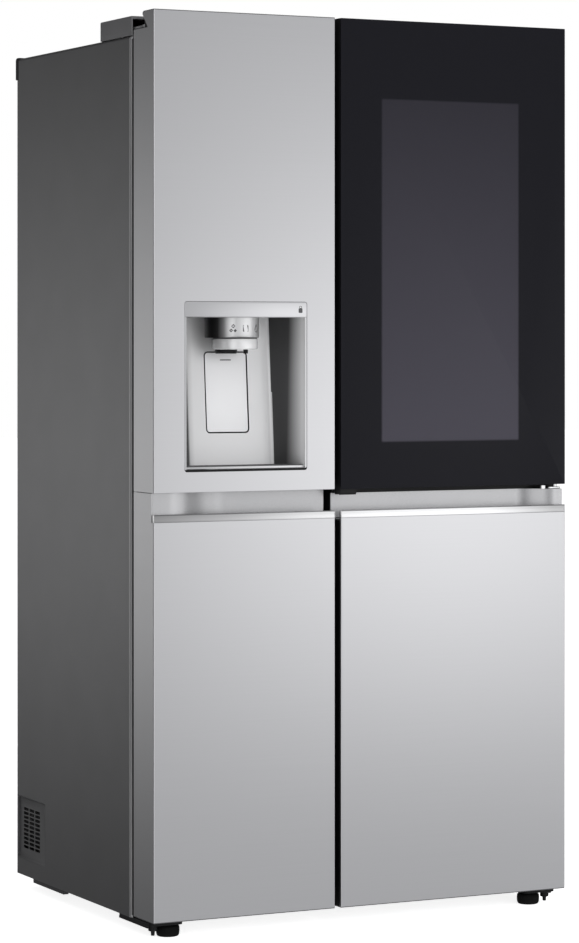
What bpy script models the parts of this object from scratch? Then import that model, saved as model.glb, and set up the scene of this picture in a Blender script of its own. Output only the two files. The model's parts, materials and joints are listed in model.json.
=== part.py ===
"""Side by side refrigerator with a water and ice dispenser and a glass door-in-door.

Frame: metres, +Z up, origin on the floor at the middle of the footprint, the doors face -Y,
+X to the right of someone standing in front of it.

Door pieces are laid out in door coordinates, the same for both doors:
u = distance in from the cabinet's outer side, v = depth behind the door's front, z = height.
"""
import math

import bmesh
import bpy
from mathutils import Matrix, Vector

# ---------------------------------------------------------------- driving dimensions
WIDTH = 0.913
DEPTH = 0.735
HEIGHT = 1.790

HALF_W = WIDTH / 2
Y_FRONT = -DEPTH / 2
Y_REAR = DEPTH / 2

DOOR_T = 0.0994                     # whole door, front to the plane the gasket sits on
SEAL_GAP = 0.0113                   # between the door's back and the cabinet's front
Y_CASE = Y_FRONT + DOOR_T + SEAL_GAP
Y_PANEL = 0.357                     # rear face of the back panel
DOOR_Z0 = 0.0353
DOOR_Z1 = HEIGHT
CASE_Z0 = 0.0307
CASE_Z1 = 1.7474

FREEZER_DOOR_W = 0.3889
FRIDGE_DOOR_W = 0.5115
LEFT, RIGHT = -1, 1

LIP_Z0 = 0.8037                     # bright strip along the top of the lower panels
LIP_Z1 = 0.8188
POCKET_Z1 = 0.8607                  # underside of the upper panels, top of the grip
DID_Z0 = 0.8510                     # top of the fridge door's lower block
DID_T = 0.042                       # thickness of the outer glass door
DID_GAP = 0.004                     # between the glass door and the inner door

SHEET = 0.0015                      # steel skins
CORE_V1 = 0.0870                    # back of a door's foamed body, where its inner panel starts
CASE_T = 0.002
GAP = 0.0003                        # between touching pieces
OVER = 0.02                         # how far a cutter runs past what it cuts

HINGE_U, HINGE_V = 0.020, 0.0774    # main door pins
PIN_R = 0.005
BORE_R = 0.0054
NOTCH_Z = 1.757                     # floor of the notch for the top hinge
NOTCH_U = 0.050
NOTCH_V = 0.047
DID_PIN_U, DID_PIN_V = 0.011, 0.0235
DID_PIN_R = 0.004

# interior of the two compartments
FREEZER_X = (-0.4015, -0.0963)
FRIDGE_X = (-0.0263, 0.4015)
ROOM_Z0, ROOM_Z1 = 0.10, 1.69
ROOM_Y1 = 0.300
STEP_Y, STEP_Z = 0.008, 0.34        # the floor steps up over the machine room
STEP_RUN = 0.040
LINER_T = 0.0025
SHELF_Y0, SHELF_Y1 = -0.110, 0.225
STEP_DRAWER_Y1 = 0.000              # the low tubs stop short of the step
TUB_RAIL_Z = 0.37
FREEZER_SHELVES = (1.10,)
FRIDGE_SHELVES = (1.30, 0.98)

# what it stands on
ROLLER_X, ROLLER_Y, ROLLER_R = 0.360, 0.2325, 0.020
FOOT_U, FOOT_V, FOOT_R = 0.0545, 0.057, 0.0215
BRACKET_Z = (0.0243, 0.0300)

# (x, z) of the mains lead's gland and of the water hose's inlet, low on the back
MAINS_GLAND = (-0.400, 0.075)
WATER_INLET = (0.400, 0.230)

# dispenser, in door coordinates
DISP_U0, DISP_U1 = 0.0655, 0.3267
DISP_Z0, DISP_Z1 = 0.9005, 1.2290
DISP_U = (DISP_U0 + DISP_U1) / 2
STRIP_Z0 = 1.1993                   # lower edge of the control strip
CAVITY_Z0 = 0.9045
CAVITY_BOTTOM_V, CAVITY_TOP_V = 0.081, 0.105
CAVITY_BORDER, CAVITY_INSET = 0.0035, 0.035
HOUSING_V1 = 0.112                  # back of the dispenser's housing
STRIP_T = 0.012
HEAD_R, HEAD_V, HEAD_Z0 = 0.0533, 0.068, 1.1587
HEAD_BACK_V = 0.099                 # the head is cut flat in front of the cavity's back
RING_R, RING_V, RING_Z0 = 0.0447, 0.053, 1.1364
NOZZLE_R, NOZZLE_Z0 = 0.026, 1.128
LEVER_HALF, LEVER_T = 0.0450, 0.004
LEVER_Z0, LEVER_Z1 = 0.9732, 1.1305
LEVER_CLEAR, WELL_V1 = 0.0011, 0.1065           # well in the cavity's back that the lever swings in
TRAY_V, TRAY_T = (0.004, 0.060), 0.006

# inner panels of the doors: raised ribs with the bins between them, all in door coordinates
LINER_Z0, LINER_TOP_DROP = DOOR_Z0 + 0.002, 0.002
RIB_W, RIB_V1 = 0.015, 0.128
FREEZER_RIB_U = (0.0650, 0.3402)
FRIDGE_RIB_U = (0.0650, 0.4600)
RIB_Z = (0.125, 1.665)
BIN_V1 = 0.195
BIN_WALL = 0.003
ICE_BIN_V1 = 0.198
BULGE_V1, BULGE_Z = 0.142, (0.875, 1.262)       # over the dispenser's back
BAY_CASE_V1, BAY_CASE_Z = 0.197, (0.900, 1.680)  # case of the door-in-door
BAY_WALL = 0.005
BAY_U, BAY_Z = (0.075, 0.450), (0.930, 1.660)    # its opening
WINDOW_U, WINDOW_Z = (0.1095, 0.4205), (0.953, 1.633)

MATERIALS = {                       # colour, roughness, metallic
    "steel": ((0.62, 0.62, 0.63), 0.32, 1.0),
    "case_grey": ((0.10, 0.10, 0.105), 0.55, 0.2),
    "aluminium": ((0.80, 0.80, 0.80), 0.22, 1.0),
    "pocket_grey": ((0.42, 0.42, 0.43), 0.40, 0.6),
    "black_plastic": ((0.02, 0.02, 0.022), 0.45, 0.0),
    "dark_grey": ((0.09, 0.09, 0.095), 0.55, 0.0),
    "white_plastic": ((0.80, 0.81, 0.82), 0.35, 0.0),
    "clear": ((0.75, 0.80, 0.83), 0.10, 0.0),
    "black_glass": ((0.012, 0.012, 0.016), 0.06, 0.0),
    "foam": ((0.75, 0.70, 0.50), 0.90, 0.0),
    "gasket": ((0.10, 0.10, 0.10), 0.75, 0.0),
    "zinc": ((0.45, 0.45, 0.46), 0.45, 0.9),
    "copper": ((0.60, 0.33, 0.20), 0.40, 1.0),
    "rubber": ((0.025, 0.025, 0.025), 0.80, 0.0),
    "glass_clear": ((0.80, 0.88, 0.88), 0.05, 0.0),
}


# ---------------------------------------------------------------- modelling helpers
def clear_scene():
    for obj in list(bpy.data.objects):
        bpy.data.objects.remove(obj, do_unlink=True)


def material(slot):
    found = bpy.data.materials.get(slot)
    if found:
        return found
    colour, roughness, metallic = MATERIALS[slot]
    made = bpy.data.materials.new(slot)
    made.use_nodes = True
    shader = made.node_tree.nodes["Principled BSDF"]
    shader.inputs["Base Color"].default_value = (*colour, 1.0)
    shader.inputs["Roughness"].default_value = roughness
    shader.inputs["Metallic"].default_value = metallic
    return made


def finish_mesh(name, bm, slot):
    """Turn a bmesh into a named object with outward faces."""
    bmesh.ops.recalc_face_normals(bm, faces=bm.faces)
    mesh = bpy.data.meshes.new(name)
    bm.to_mesh(mesh)
    bm.free()
    obj = bpy.data.objects.new(name, mesh)
    bpy.context.scene.collection.objects.link(obj)
    if slot:
        mesh.materials.append(material(slot))
    return obj


def skin_rings(name, rings, slot=None):
    """Closed body through rings of points; every ring has the same number of points."""
    bm = bmesh.new()
    rows = [[bm.verts.new(point) for point in ring] for ring in rings]
    count = len(rows[0])
    for lower, upper in zip(rows, rows[1:]):
        for i in range(count):
            j = (i + 1) % count
            bm.faces.new((lower[i], lower[j], upper[j], upper[i]))
    bm.faces.new(rows[0])
    bm.faces.new(rows[-1])
    return finish_mesh(name, bm, slot)


def box(name, x, y, z, slot=None):
    """Box from three (low, high) pairs."""
    ring = [(x[0], y[0]), (x[1], y[0]), (x[1], y[1]), (x[0], y[1])]
    return skin_rings(name, [[(px, py, level) for px, py in ring] for level in z], slot)


def prism_x(name, outline, x, slot=None):
    """Outline of (y, z) points, run along X."""
    return skin_rings(name, [[(level, py, pz) for py, pz in outline] for level in x], slot)


def prism_y(name, outline, y, slot=None):
    """Outline of (x, z) points, run along Y."""
    return skin_rings(name, [[(px, level, pz) for px, pz in outline] for level in y], slot)


def turned(name, profile, centre, axis="Z", slot=None, sides=24):
    """Solid of revolution: profile is (radius, height) pairs from bottom to top."""
    turn = {"Z": Matrix.Identity(3), "X": Matrix.Rotation(math.pi / 2, 3, "Y"),
            "Y": Matrix.Rotation(-math.pi / 2, 3, "X")}[axis]
    rings = []
    for radius, level in profile:
        ring = []
        for i in range(sides):
            angle = 2 * math.pi * i / sides
            point = Vector((radius * math.cos(angle), radius * math.sin(angle), level))
            ring.append(tuple(turn @ point + Vector(centre)))
        rings.append(ring)
    return skin_rings(name, rings, slot)


def combine(target, other, operation):
    """Apply a Boolean of other on target and remove other."""
    modifier = target.modifiers.new(operation.lower(), "BOOLEAN")
    modifier.operation = operation
    modifier.solver = "EXACT"
    modifier.object = other
    bpy.context.view_layer.update()
    graph = bpy.context.evaluated_depsgraph_get()
    mesh = bpy.data.meshes.new_from_object(target.evaluated_get(graph))
    target.modifiers.clear()
    target.data = mesh
    bpy.data.objects.remove(other, do_unlink=True)
    return target


def cut(target, *others):
    for other in others:
        combine(target, other, "DIFFERENCE")
    return target


def add(target, *others):
    for other in others:
        combine(target, other, "UNION")
    return target


def arc(centre, radius, start, end, steps):
    """Points on a circle, angles in degrees."""
    points = []
    for i in range(steps + 1):
        angle = math.radians(start + (end - start) * i / steps)
        points.append((centre[0] + radius * math.cos(angle), centre[1] + radius * math.sin(angle)))
    return points


def pivot(name, place, children):
    """Empty on a joint's axis, with the pieces that turn or slide with it as its children."""
    empty = bpy.data.objects.new(name, None)
    empty.location = place
    bpy.context.scene.collection.objects.link(empty)
    bpy.context.view_layer.update()
    for child in children:
        child.parent = empty
        child.matrix_parent_inverse = empty.matrix_world.inverted()
    return empty


# ---------------------------------------------------------------- door coordinates
def door_x(side, u):
    return side * (HALF_W - u)


def door_y(v):
    return Y_FRONT + v


def door_box(name, side, u, v, z, slot=None):
    x = sorted((door_x(side, u[0]), door_x(side, u[1])))
    return box(name, x, (door_y(v[0]), door_y(v[1])), z, slot)


def door_prism(name, side, outline, z, slot=None):
    """Outline of (u, v) points, run along Z."""
    rings = [[(door_x(side, u), door_y(v), level) for u, v in outline] for level in z]
    return skin_rings(name, rings, slot)


def door_pin(name, side, u, v, z, radius, slot=None, sides=24):
    centre = (door_x(side, u), door_y(v), 0)
    return turned(name, [(radius, z[0]), (radius, z[1])], centre, "Z", slot, sides)


def skin_outline(width, inner, v_outer, v_gap):
    """Half of a bent sheet: rounded front corners, a return down each side."""
    radius = 0.004 - inner
    corner = 0.004
    near = arc((corner, corner), radius, 180, 270, 4)
    far = arc((width - corner, corner), radius, 270, 360, 4)
    return [(inner, v_outer)] + near + far + [(width - inner, v_gap)]


def door_core(name, side, width):
    """Foamed body of a door, inside the sheet's rounded corners."""
    outline = skin_outline(width, SHEET + GAP, CORE_V1, CORE_V1)
    return door_prism(name, side, outline, (DOOR_Z0, DOOR_Z1), "black_plastic")


def door_skin(name, side, width, z, v_outer=DOOR_T - 0.002, v_gap=0.008):
    """Steel sheet over the front of a door, round to its hinge side."""
    outside = skin_outline(width, 0.0, v_outer, v_gap)
    inside = skin_outline(width, SHEET, v_outer, v_gap)
    return door_prism(name, side, outside + inside[::-1], z, "steel")


def recess_curve(width, flat_end, deep_start, shallow, deep, grow=0.0):
    """Back of the grip seen from above: shallow at the hinge side, an S bend, then deep."""
    points = [(0.0, shallow + grow)]
    steps = 12
    for i in range(steps + 1):
        t = i / steps
        depth = shallow + (deep - shallow) * (1 - math.cos(math.pi * t)) / 2
        points.append((flat_end + (deep_start - flat_end) * t, depth + grow))
    points.append((width, deep + grow))
    return points


POCKETS = {
    LEFT: dict(width=FREEZER_DOOR_W, flat_end=0.0388, deep_start=0.125, shallow=0.010, deep=0.050),
    RIGHT: dict(width=FRIDGE_DOOR_W, flat_end=0.016, deep_start=0.078, shallow=0.012, deep=0.050),
}
POCKET_WALL = 0.003
POCKET_Z0 = 0.7985


def widen(curve, low, high):
    """Move a curve's two end points out to u = low and u = high."""
    return [(low, curve[0][1])] + curve[1:-1] + [(high, curve[-1][1])]


def pocket_void(side, grow, front, z, overhang=OVER):
    curve = recess_curve(**POCKETS[side], grow=grow)
    curve = widen(curve, -overhang, POCKETS[side]["width"] + overhang)
    outline = [(curve[0][0], front)] + curve + [(curve[-1][0], front)]
    return door_prism("cutter", side, outline, z)


def handle_pocket(name, side, z1):
    """Floor and curved back wall of the grip, one moulding."""
    inset = SHEET + GAP
    width = POCKETS[side]["width"]
    curve = widen(recess_curve(**POCKETS[side], grow=POCKET_WALL), inset, width - inset)
    front = 0.0068
    outline = [(inset, front)] + curve + [(width - inset, front)]
    pocket = door_prism(name, side, outline, (POCKET_Z0, z1), "pocket_grey")
    return cut(pocket, pocket_void(side, 0.0, -OVER, (POCKET_Z0 + POCKET_WALL, z1 + OVER)))


def handle_lip(name, side):
    """Polished strip that the fingers hook behind."""
    width = POCKETS[side]["width"]
    section = [(0.0, LIP_Z0 + GAP), (0.0064, LIP_Z0 + GAP), (0.0064, LIP_Z1 - 0.001)]
    section += [(0.0054, LIP_Z1), (0.0015, LIP_Z1), (0.0, LIP_Z1 - 0.0015)]
    outline = [(door_y(v), level) for v, level in section]
    ends = sorted((door_x(side, 0.0), door_x(side, width)))
    return prism_x(name, outline, ends, "aluminium")


def hinge_notch(side):
    """Room at a door's top rear corner for the hinge arm, open to the side and the back."""
    return door_box("cutter", side, (-OVER, NOTCH_U), (NOTCH_V, DOOR_T + OVER),
                    (NOTCH_Z, HEIGHT + OVER))


def hinge_bores(side):
    top = door_pin("cutter", side, HINGE_U, HINGE_V, (NOTCH_Z - 0.029, NOTCH_Z + OVER), BORE_R)
    bottom = door_pin("cutter", side, HINGE_U, HINGE_V, (0.0, 0.062), BORE_R)
    return top, bottom


def gasket(name, side, width):
    """Magnetic seal: a ring between the door's back and the cabinet's front."""
    depth = (DOOR_T + GAP, DOOR_T + SEAL_GAP - GAP)
    ring = door_box(name, side, (0.022, width - 0.009), depth, (0.060, 1.730), "gasket")
    hole = door_box("cutter", side, (0.037, width - 0.024), (depth[0] - OVER, depth[1] + OVER),
                    (0.075, 1.715))
    return cut(ring, hole)


def open_box(name, x, y, z, wall, slot):
    """Bin or drawer, open at the top."""
    outer = box(name, x, y, z, slot)
    inner = box("cutter", (x[0] + wall, x[1] - wall), (y[0] + wall, y[1] - wall),
                (z[0] + wall, z[1] + OVER))
    return cut(outer, inner)


def door_bin(name, side, u, z, v=(DOOR_T + GAP, BIN_V1)):
    x = sorted((door_x(side, u[0]), door_x(side, u[1])))
    return open_box(name, x, (door_y(v[0]), door_y(v[1])), z, BIN_WALL, "clear")


def ribs(side, u, z):
    """Upright ribs of a door's inner panel, one at each end of the bins."""
    spans = ((u[0], u[0] + RIB_W), (u[1] - RIB_W, u[1]))
    return [door_box("rib", side, span, (CORE_V1 + 0.003, RIB_V1), z) for span in spans]


def between_ribs(u):
    """Where the bins go, with the usual gap to the ribs."""
    return u[0] + RIB_W + GAP, u[1] - RIB_W - GAP


# ---------------------------------------------------------------- freezer door
def cavity_depth(z):
    share = (z - CAVITY_Z0) / (STRIP_Z0 - GAP - CAVITY_Z0)
    return CAVITY_BOTTOM_V + (CAVITY_TOP_V - CAVITY_BOTTOM_V) * share


def cavity_arc(depth):
    """Turn and radius of the arc on which a side wall sweeps in over the cavity's depth."""
    turn = 2 * math.atan(CAVITY_INSET / depth)
    return turn, depth / math.sin(turn)


def cavity_ring(depth, z, front):
    """Dispenser cavity at one height: swept side walls and a flat back."""
    u0, u1 = DISP_U0 + CAVITY_BORDER, DISP_U1 - CAVITY_BORDER
    turn, radius = cavity_arc(depth)
    sweep = []
    for i in range(7):
        angle = turn * i / 6
        sweep.append((radius * (1 - math.cos(angle)), radius * math.sin(angle)))
    left = [(u0, front)] + [(u0 + a, b) for a, b in sweep]
    right = [(u1 - a, b) for a, b in sweep[::-1]] + [(u1, front)]
    return [(door_x(LEFT, u), door_y(v), z) for u, v in left + right]


def dispenser_cavity():
    top = STRIP_Z0 - GAP
    rings = [cavity_ring(CAVITY_BOTTOM_V, CAVITY_Z0, -OVER), cavity_ring(CAVITY_TOP_V, top, -OVER)]
    return skin_rings("cutter", rings)


def tray_outline(clear):
    """Drip tray seen from above: its sides follow the cavity's."""
    radius = cavity_arc(CAVITY_BOTTOM_V)[1]
    v0, v1 = TRAY_V[0] + clear, TRAY_V[1] - clear
    side = []
    for i in range(5):
        v = v0 + (v1 - v0) * i / 4
        side.append((CAVITY_BORDER + clear + radius - math.sqrt(radius ** 2 - v ** 2), v))
    return [(DISP_U0 + a, b) for a, b in side] + [(DISP_U1 - a, b) for a, b in side[::-1]]


def dispenser_block(name, grow, slot=None):
    """Outer form of the dispenser's housing."""
    return door_box(name, LEFT, (DISP_U0 - grow, DISP_U1 + grow), (-OVER if grow else GAP, HOUSING_V1 + grow),
                    (DISP_Z0 - grow, DISP_Z1 + grow), slot)


def dispenser():
    housing = dispenser_block("dispenser_housing", 0.0, "dark_grey")
    well_half = LEVER_HALF + LEVER_CLEAR
    well_u = (DISP_U - well_half, DISP_U + well_half)
    cut(housing, dispenser_cavity(),
        door_box("cutter", LEFT, well_u, (0.0, WELL_V1), (LEVER_Z0 - LEVER_CLEAR, LEVER_Z1 + LEVER_CLEAR)))
    cut(housing, door_box("cutter", LEFT, (DISP_U0 - OVER, DISP_U1 + OVER), (-OVER, STRIP_T + GAP),
                          (STRIP_Z0, DISP_Z1 + OVER)))

    strip = door_box("dispenser_control", LEFT, (DISP_U0, DISP_U1), (0.0, STRIP_T),
                     (STRIP_Z0 + GAP, DISP_Z1), "dark_grey")

    head_place = (door_x(LEFT, DISP_U), door_y(HEAD_V), 0)
    ring_place = (door_x(LEFT, DISP_U), door_y(RING_V), 0)
    head = turned("dispenser_head", [(HEAD_R, HEAD_Z0), (HEAD_R, STRIP_Z0 - 2 * GAP)],
                  head_place, "Z", "pocket_grey", 32)
    ring = turned("ring", [(RING_R - 0.0047, RING_Z0), (RING_R, RING_Z0 + 0.0036), (RING_R, HEAD_Z0 + 0.001)],
                  ring_place, "Z", None, 32)
    nozzle = turned("nozzle", [(NOZZLE_R, NOZZLE_Z0), (NOZZLE_R + 0.006, RING_Z0 + 0.0016)],
                    ring_place, "Z", None, 24)
    add(head, ring, nozzle)
    cut(head, door_box("cutter", LEFT, (0.0, FREEZER_DOOR_W), (HEAD_BACK_V, 0.2), (1.0, 1.3)))

    # lever that a glass pushes back; flush with the cavity's back, it hangs from its top edge
    top_v, low_v = (cavity_depth(z) + GAP for z in (LEVER_Z1, LEVER_Z0))
    section = [(top_v, LEVER_Z1), (top_v + LEVER_T, LEVER_Z1), (low_v + LEVER_T, LEVER_Z0), (low_v, LEVER_Z0)]
    lever_x = (door_x(LEFT, DISP_U + LEVER_HALF), door_x(LEFT, DISP_U - LEVER_HALF))
    paddle = prism_x("dispenser_paddle", [(door_y(v), z) for v, z in section], lever_x, "pocket_grey")
    pin = (door_x(LEFT, DISP_U), door_y(top_v + LEVER_T / 2), LEVER_Z1 - 0.0015)
    pivot("paddle_pivot", pin, [paddle])

    tray = door_prism("dispenser_tray", LEFT, tray_outline(0.0007),
                      (CAVITY_Z0 + GAP, CAVITY_Z0 + TRAY_T), "dark_grey")
    cut(tray, door_prism("cutter", LEFT, tray_outline(0.004), (CAVITY_Z0 + TRAY_T / 2, CAVITY_Z0 + OVER)))
    return [housing, strip, head, tray], paddle


def freezer_door():
    width = FREEZER_DOOR_W
    upper = door_skin("freezer_upper_skin", LEFT, width, (POCKET_Z1, DOOR_Z1 - GAP))
    cut(upper, dispenser_block("cutter", GAP), hinge_notch(LEFT))
    lower = door_skin("freezer_lower_skin", LEFT, width, (DOOR_Z0, POCKET_Z1 - 0.0006))
    cut(lower, door_box("cutter", LEFT, (-OVER, width + OVER), (-OVER, POCKETS[LEFT]["shallow"]),
                        (LIP_Z0, POCKET_Z1 + OVER)))

    inset = SHEET + GAP
    core = door_core("freezer_door_core", LEFT, width)
    cut(core, pocket_void(LEFT, POCKET_WALL + GAP, -OVER, (POCKET_Z0 - GAP, POCKET_Z1 + GAP)),
        dispenser_block("cutter", GAP), hinge_notch(LEFT), *hinge_bores(LEFT))

    liner = door_box("freezer_door_liner", LEFT, (inset, width - inset), (CORE_V1 + GAP, DOOR_T),
                     (LINER_Z0, DOOR_Z1 - LINER_TOP_DROP), "white_plastic")
    add(liner, door_box("bulge", LEFT, FREEZER_RIB_U, (CORE_V1 + 0.003, BULGE_V1), BULGE_Z),
        *ribs(LEFT, FREEZER_RIB_U, RIB_Z))
    cut(liner, dispenser_block("cutter", GAP), hinge_notch(LEFT))

    pieces = [upper, lower, core, liner]
    pieces.append(gasket("freezer_gasket", LEFT, width))
    pieces.append(handle_pocket("freezer_handle_pocket", LEFT, POCKET_Z1 - GAP))
    pieces.append(handle_lip("freezer_handle_lip", LEFT))
    bin_u = between_ribs(FREEZER_RIB_U)
    pieces.append(door_bin("freezer_bin_1", LEFT, bin_u, (0.60, 0.71)))
    pieces.append(door_bin("freezer_bin_2", LEFT, bin_u, (0.30, 0.41)))
    pieces.append(door_bin("ice_bin", LEFT, bin_u, (1.29, 1.62), (DOOR_T + GAP, ICE_BIN_V1)))
    fixed, paddle = dispenser()
    pieces += fixed
    hinge = pivot("freezer_door_hinge", (door_x(LEFT, HINGE_U), door_y(HINGE_V), 0), pieces)
    paddle.parent.parent = hinge
    paddle.parent.matrix_parent_inverse = hinge.matrix_world.inverted()


# ---------------------------------------------------------------- fridge door and door-in-door
def fridge_door():
    width = FRIDGE_DOOR_W
    inner_v = DID_T + DID_GAP
    lower = door_skin("fridge_lower_skin", RIGHT, width, (DOOR_Z0, DID_Z0 - GAP))
    cut(lower, door_box("cutter", RIGHT, (-OVER, width + OVER), (-OVER, POCKETS[RIGHT]["shallow"]),
                        (LIP_Z0, POCKET_Z1 + OVER)))

    # lower block and, above it, the slimmer inner door behind the glass door
    inset = SHEET + GAP
    core = door_core("fridge_door_core", RIGHT, width)
    cut(core, door_box("cutter", RIGHT, (-OVER, width + OVER), (-OVER, inner_v), (DID_Z0, HEIGHT + OVER)),
        pocket_void(RIGHT, POCKET_WALL + GAP, -OVER, (POCKET_Z0 - GAP, DID_Z0 + GAP)),
        door_box("cutter", RIGHT, BAY_U, (0.0, 0.1), BAY_Z),
        door_box("cutter", RIGHT, (NOTCH_U - 0.001, 0.090), (0.0, 0.1), (1.7822, HEIGHT + OVER)),
        hinge_notch(RIGHT), *hinge_bores(RIGHT))

    # inner panel with the case that the glass door gives access to
    liner = door_box("fridge_door_liner", RIGHT, (inset, width - inset), (CORE_V1 + GAP, DOOR_T),
                     (DOOR_Z0 + 0.002, 1.7820), "white_plastic")
    case_u = FRIDGE_RIB_U
    add(liner, door_box("case", RIGHT, case_u, (CORE_V1 + 0.003, BAY_CASE_V1), BAY_CASE_Z),
        *ribs(RIGHT, case_u, (RIB_Z[0], BAY_CASE_Z[0] + BAY_WALL)))
    inside_u = (case_u[0] + BAY_WALL, case_u[1] - BAY_WALL)
    inside_z = (BAY_CASE_Z[0] + BAY_WALL, BAY_CASE_Z[1] - BAY_WALL)
    cut(liner, door_box("cutter", RIGHT, inside_u, (0.0, BAY_CASE_V1 - 0.004), inside_z), hinge_notch(RIGHT))
    # the cutter above also opens the panel behind the inner door, so its rim is put back
    rim = door_box("rim", RIGHT, (case_u[0] - BAY_WALL, case_u[1] + BAY_WALL), (CORE_V1 + GAP, DOOR_T),
                   (BAY_CASE_Z[0] - BAY_WALL, BAY_CASE_Z[1] + BAY_WALL))
    cut(rim, door_box("cutter", RIGHT, BAY_U, (0.0, 0.2), BAY_Z))
    add(liner, rim)

    pieces = [lower, core, liner]
    pieces.append(gasket("fridge_gasket", RIGHT, width))
    pieces.append(handle_pocket("fridge_handle_pocket", RIGHT, DID_Z0 - GAP))
    pieces.append(handle_lip("fridge_handle_lip", RIGHT))
    pieces.append(door_bin("fridge_bin", RIGHT, between_ribs(FRIDGE_RIB_U), (0.42, 0.54)))
    did_bin_u = (inside_u[0] + GAP, inside_u[1] - GAP)
    pieces.append(door_bin("did_bin", RIGHT, did_bin_u, (1.28, 1.36), (0.1010, BAY_CASE_V1 - 0.0043)))

    top = door_box("did_hinge_top", RIGHT, (0.0035, 0.0765), (0.0155, 0.0325), (1.7825, 1.7865), "zinc")
    add(top, door_box("foot", RIGHT, (0.0565, 0.0765), (0.020, 0.084), (1.7825, 1.7865)),
        door_pin("pin", RIGHT, DID_PIN_U, DID_PIN_V, (1.762, 1.784), DID_PIN_R))
    bottom = door_box("did_hinge_bottom", RIGHT, (0.002, 0.0865), (0.0145, 0.0325),
                      (DID_Z0 + GAP, 0.8550), "zinc")
    add(bottom, door_box("stop", RIGHT, (0.0625, 0.0825), (0.016, 0.031), (0.853, 0.8600)),
        door_pin("pin", RIGHT, DID_PIN_U, DID_PIN_V, (0.853, 0.882), DID_PIN_R))
    pieces += [top, bottom]
    hinge = pivot("fridge_door_hinge", (door_x(RIGHT, HINGE_U), door_y(HINGE_V), 0), pieces)
    glass_door(hinge)


def glass_door(parent):
    width = FRIDGE_DOOR_W
    panel = door_box("glass_panel", RIGHT, (0.0, width), (0.0, 0.004), (POCKET_Z1, DOOR_Z1), "black_glass")
    frame = door_box("glass_door_frame", RIGHT, (0.0, width), (0.004 + GAP, DID_T),
                     (POCKET_Z1, DOOR_Z1), "black_plastic")
    window = door_box("cutter", RIGHT, WINDOW_U, (-OVER, 0.1), WINDOW_Z)
    notch = door_box("cutter", RIGHT, (-OVER, 0.0865), (0.0115, 0.1), (1.7800, HEIGHT + OVER))
    bore_r = DID_PIN_R + 0.0004
    bores = [door_pin("cutter", RIGHT, DID_PIN_U, DID_PIN_V, z, bore_r)
             for z in ((1.755, 1.800), (0.850, 0.890))]
    lever_well = door_box("cutter", RIGHT, (0.4740, 0.5110), (0.0036, 0.0306), (0.850, 0.8700))
    cut(frame, window, notch, lever_well, *bores)

    lever = door_box("did_latch", RIGHT, (0.4745, 0.5105), (0.0052, 0.0300), (0.8490, 0.8650),
                     "black_plastic")
    latch = pivot("latch_slide", (door_x(RIGHT, 0.4925), door_y(0.0176), 0.857), [lever])
    hinge = pivot("glass_door_hinge", (door_x(RIGHT, DID_PIN_U), door_y(DID_PIN_V), 0), [panel, frame])
    for empty, above in ((latch, hinge), (hinge, parent)):
        empty.parent = above
        empty.matrix_parent_inverse = above.matrix_world.inverted()


# ---------------------------------------------------------------- cabinet
def room_profile(grow, front):
    """Side view of a compartment; its floor steps up over the machine room."""
    return [(front, ROOM_Z0 - grow), (STEP_Y + grow, ROOM_Z0 - grow),
            (STEP_Y + STEP_RUN + grow, STEP_Z - grow), (ROOM_Y1 + grow, STEP_Z - grow),
            (ROOM_Y1 + grow, ROOM_Z1 + grow), (front, ROOM_Z1 + grow)]


def room(name, x, grow, front, slot=None):
    return prism_x(name, room_profile(grow, front), (x[0] - grow, x[1] + grow), slot)


def corner_cut(side):
    """Room for the cap over a top rear corner."""
    x = sorted((side * (HALF_W + OVER), side * (HALF_W - 0.0403)))
    return box("cutter", x, (0.3492, 0.4), (1.7027, 1.8))


def vent_slots(side):
    """Breathing slots low on the cabinet's side, three columns of short slots."""
    slots = []
    for column in range(3):
        y0 = 0.2275 + 0.0315 * column
        for row in range(10):
            z0 = 0.0885 + 0.0083 * row
            x = sorted((side * (HALF_W + OVER), side * (HALF_W - OVER)))
            slots.append(box("cutter", x, (y0, y0 + 0.024), (z0, z0 + 0.0042)))
    return slots


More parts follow.
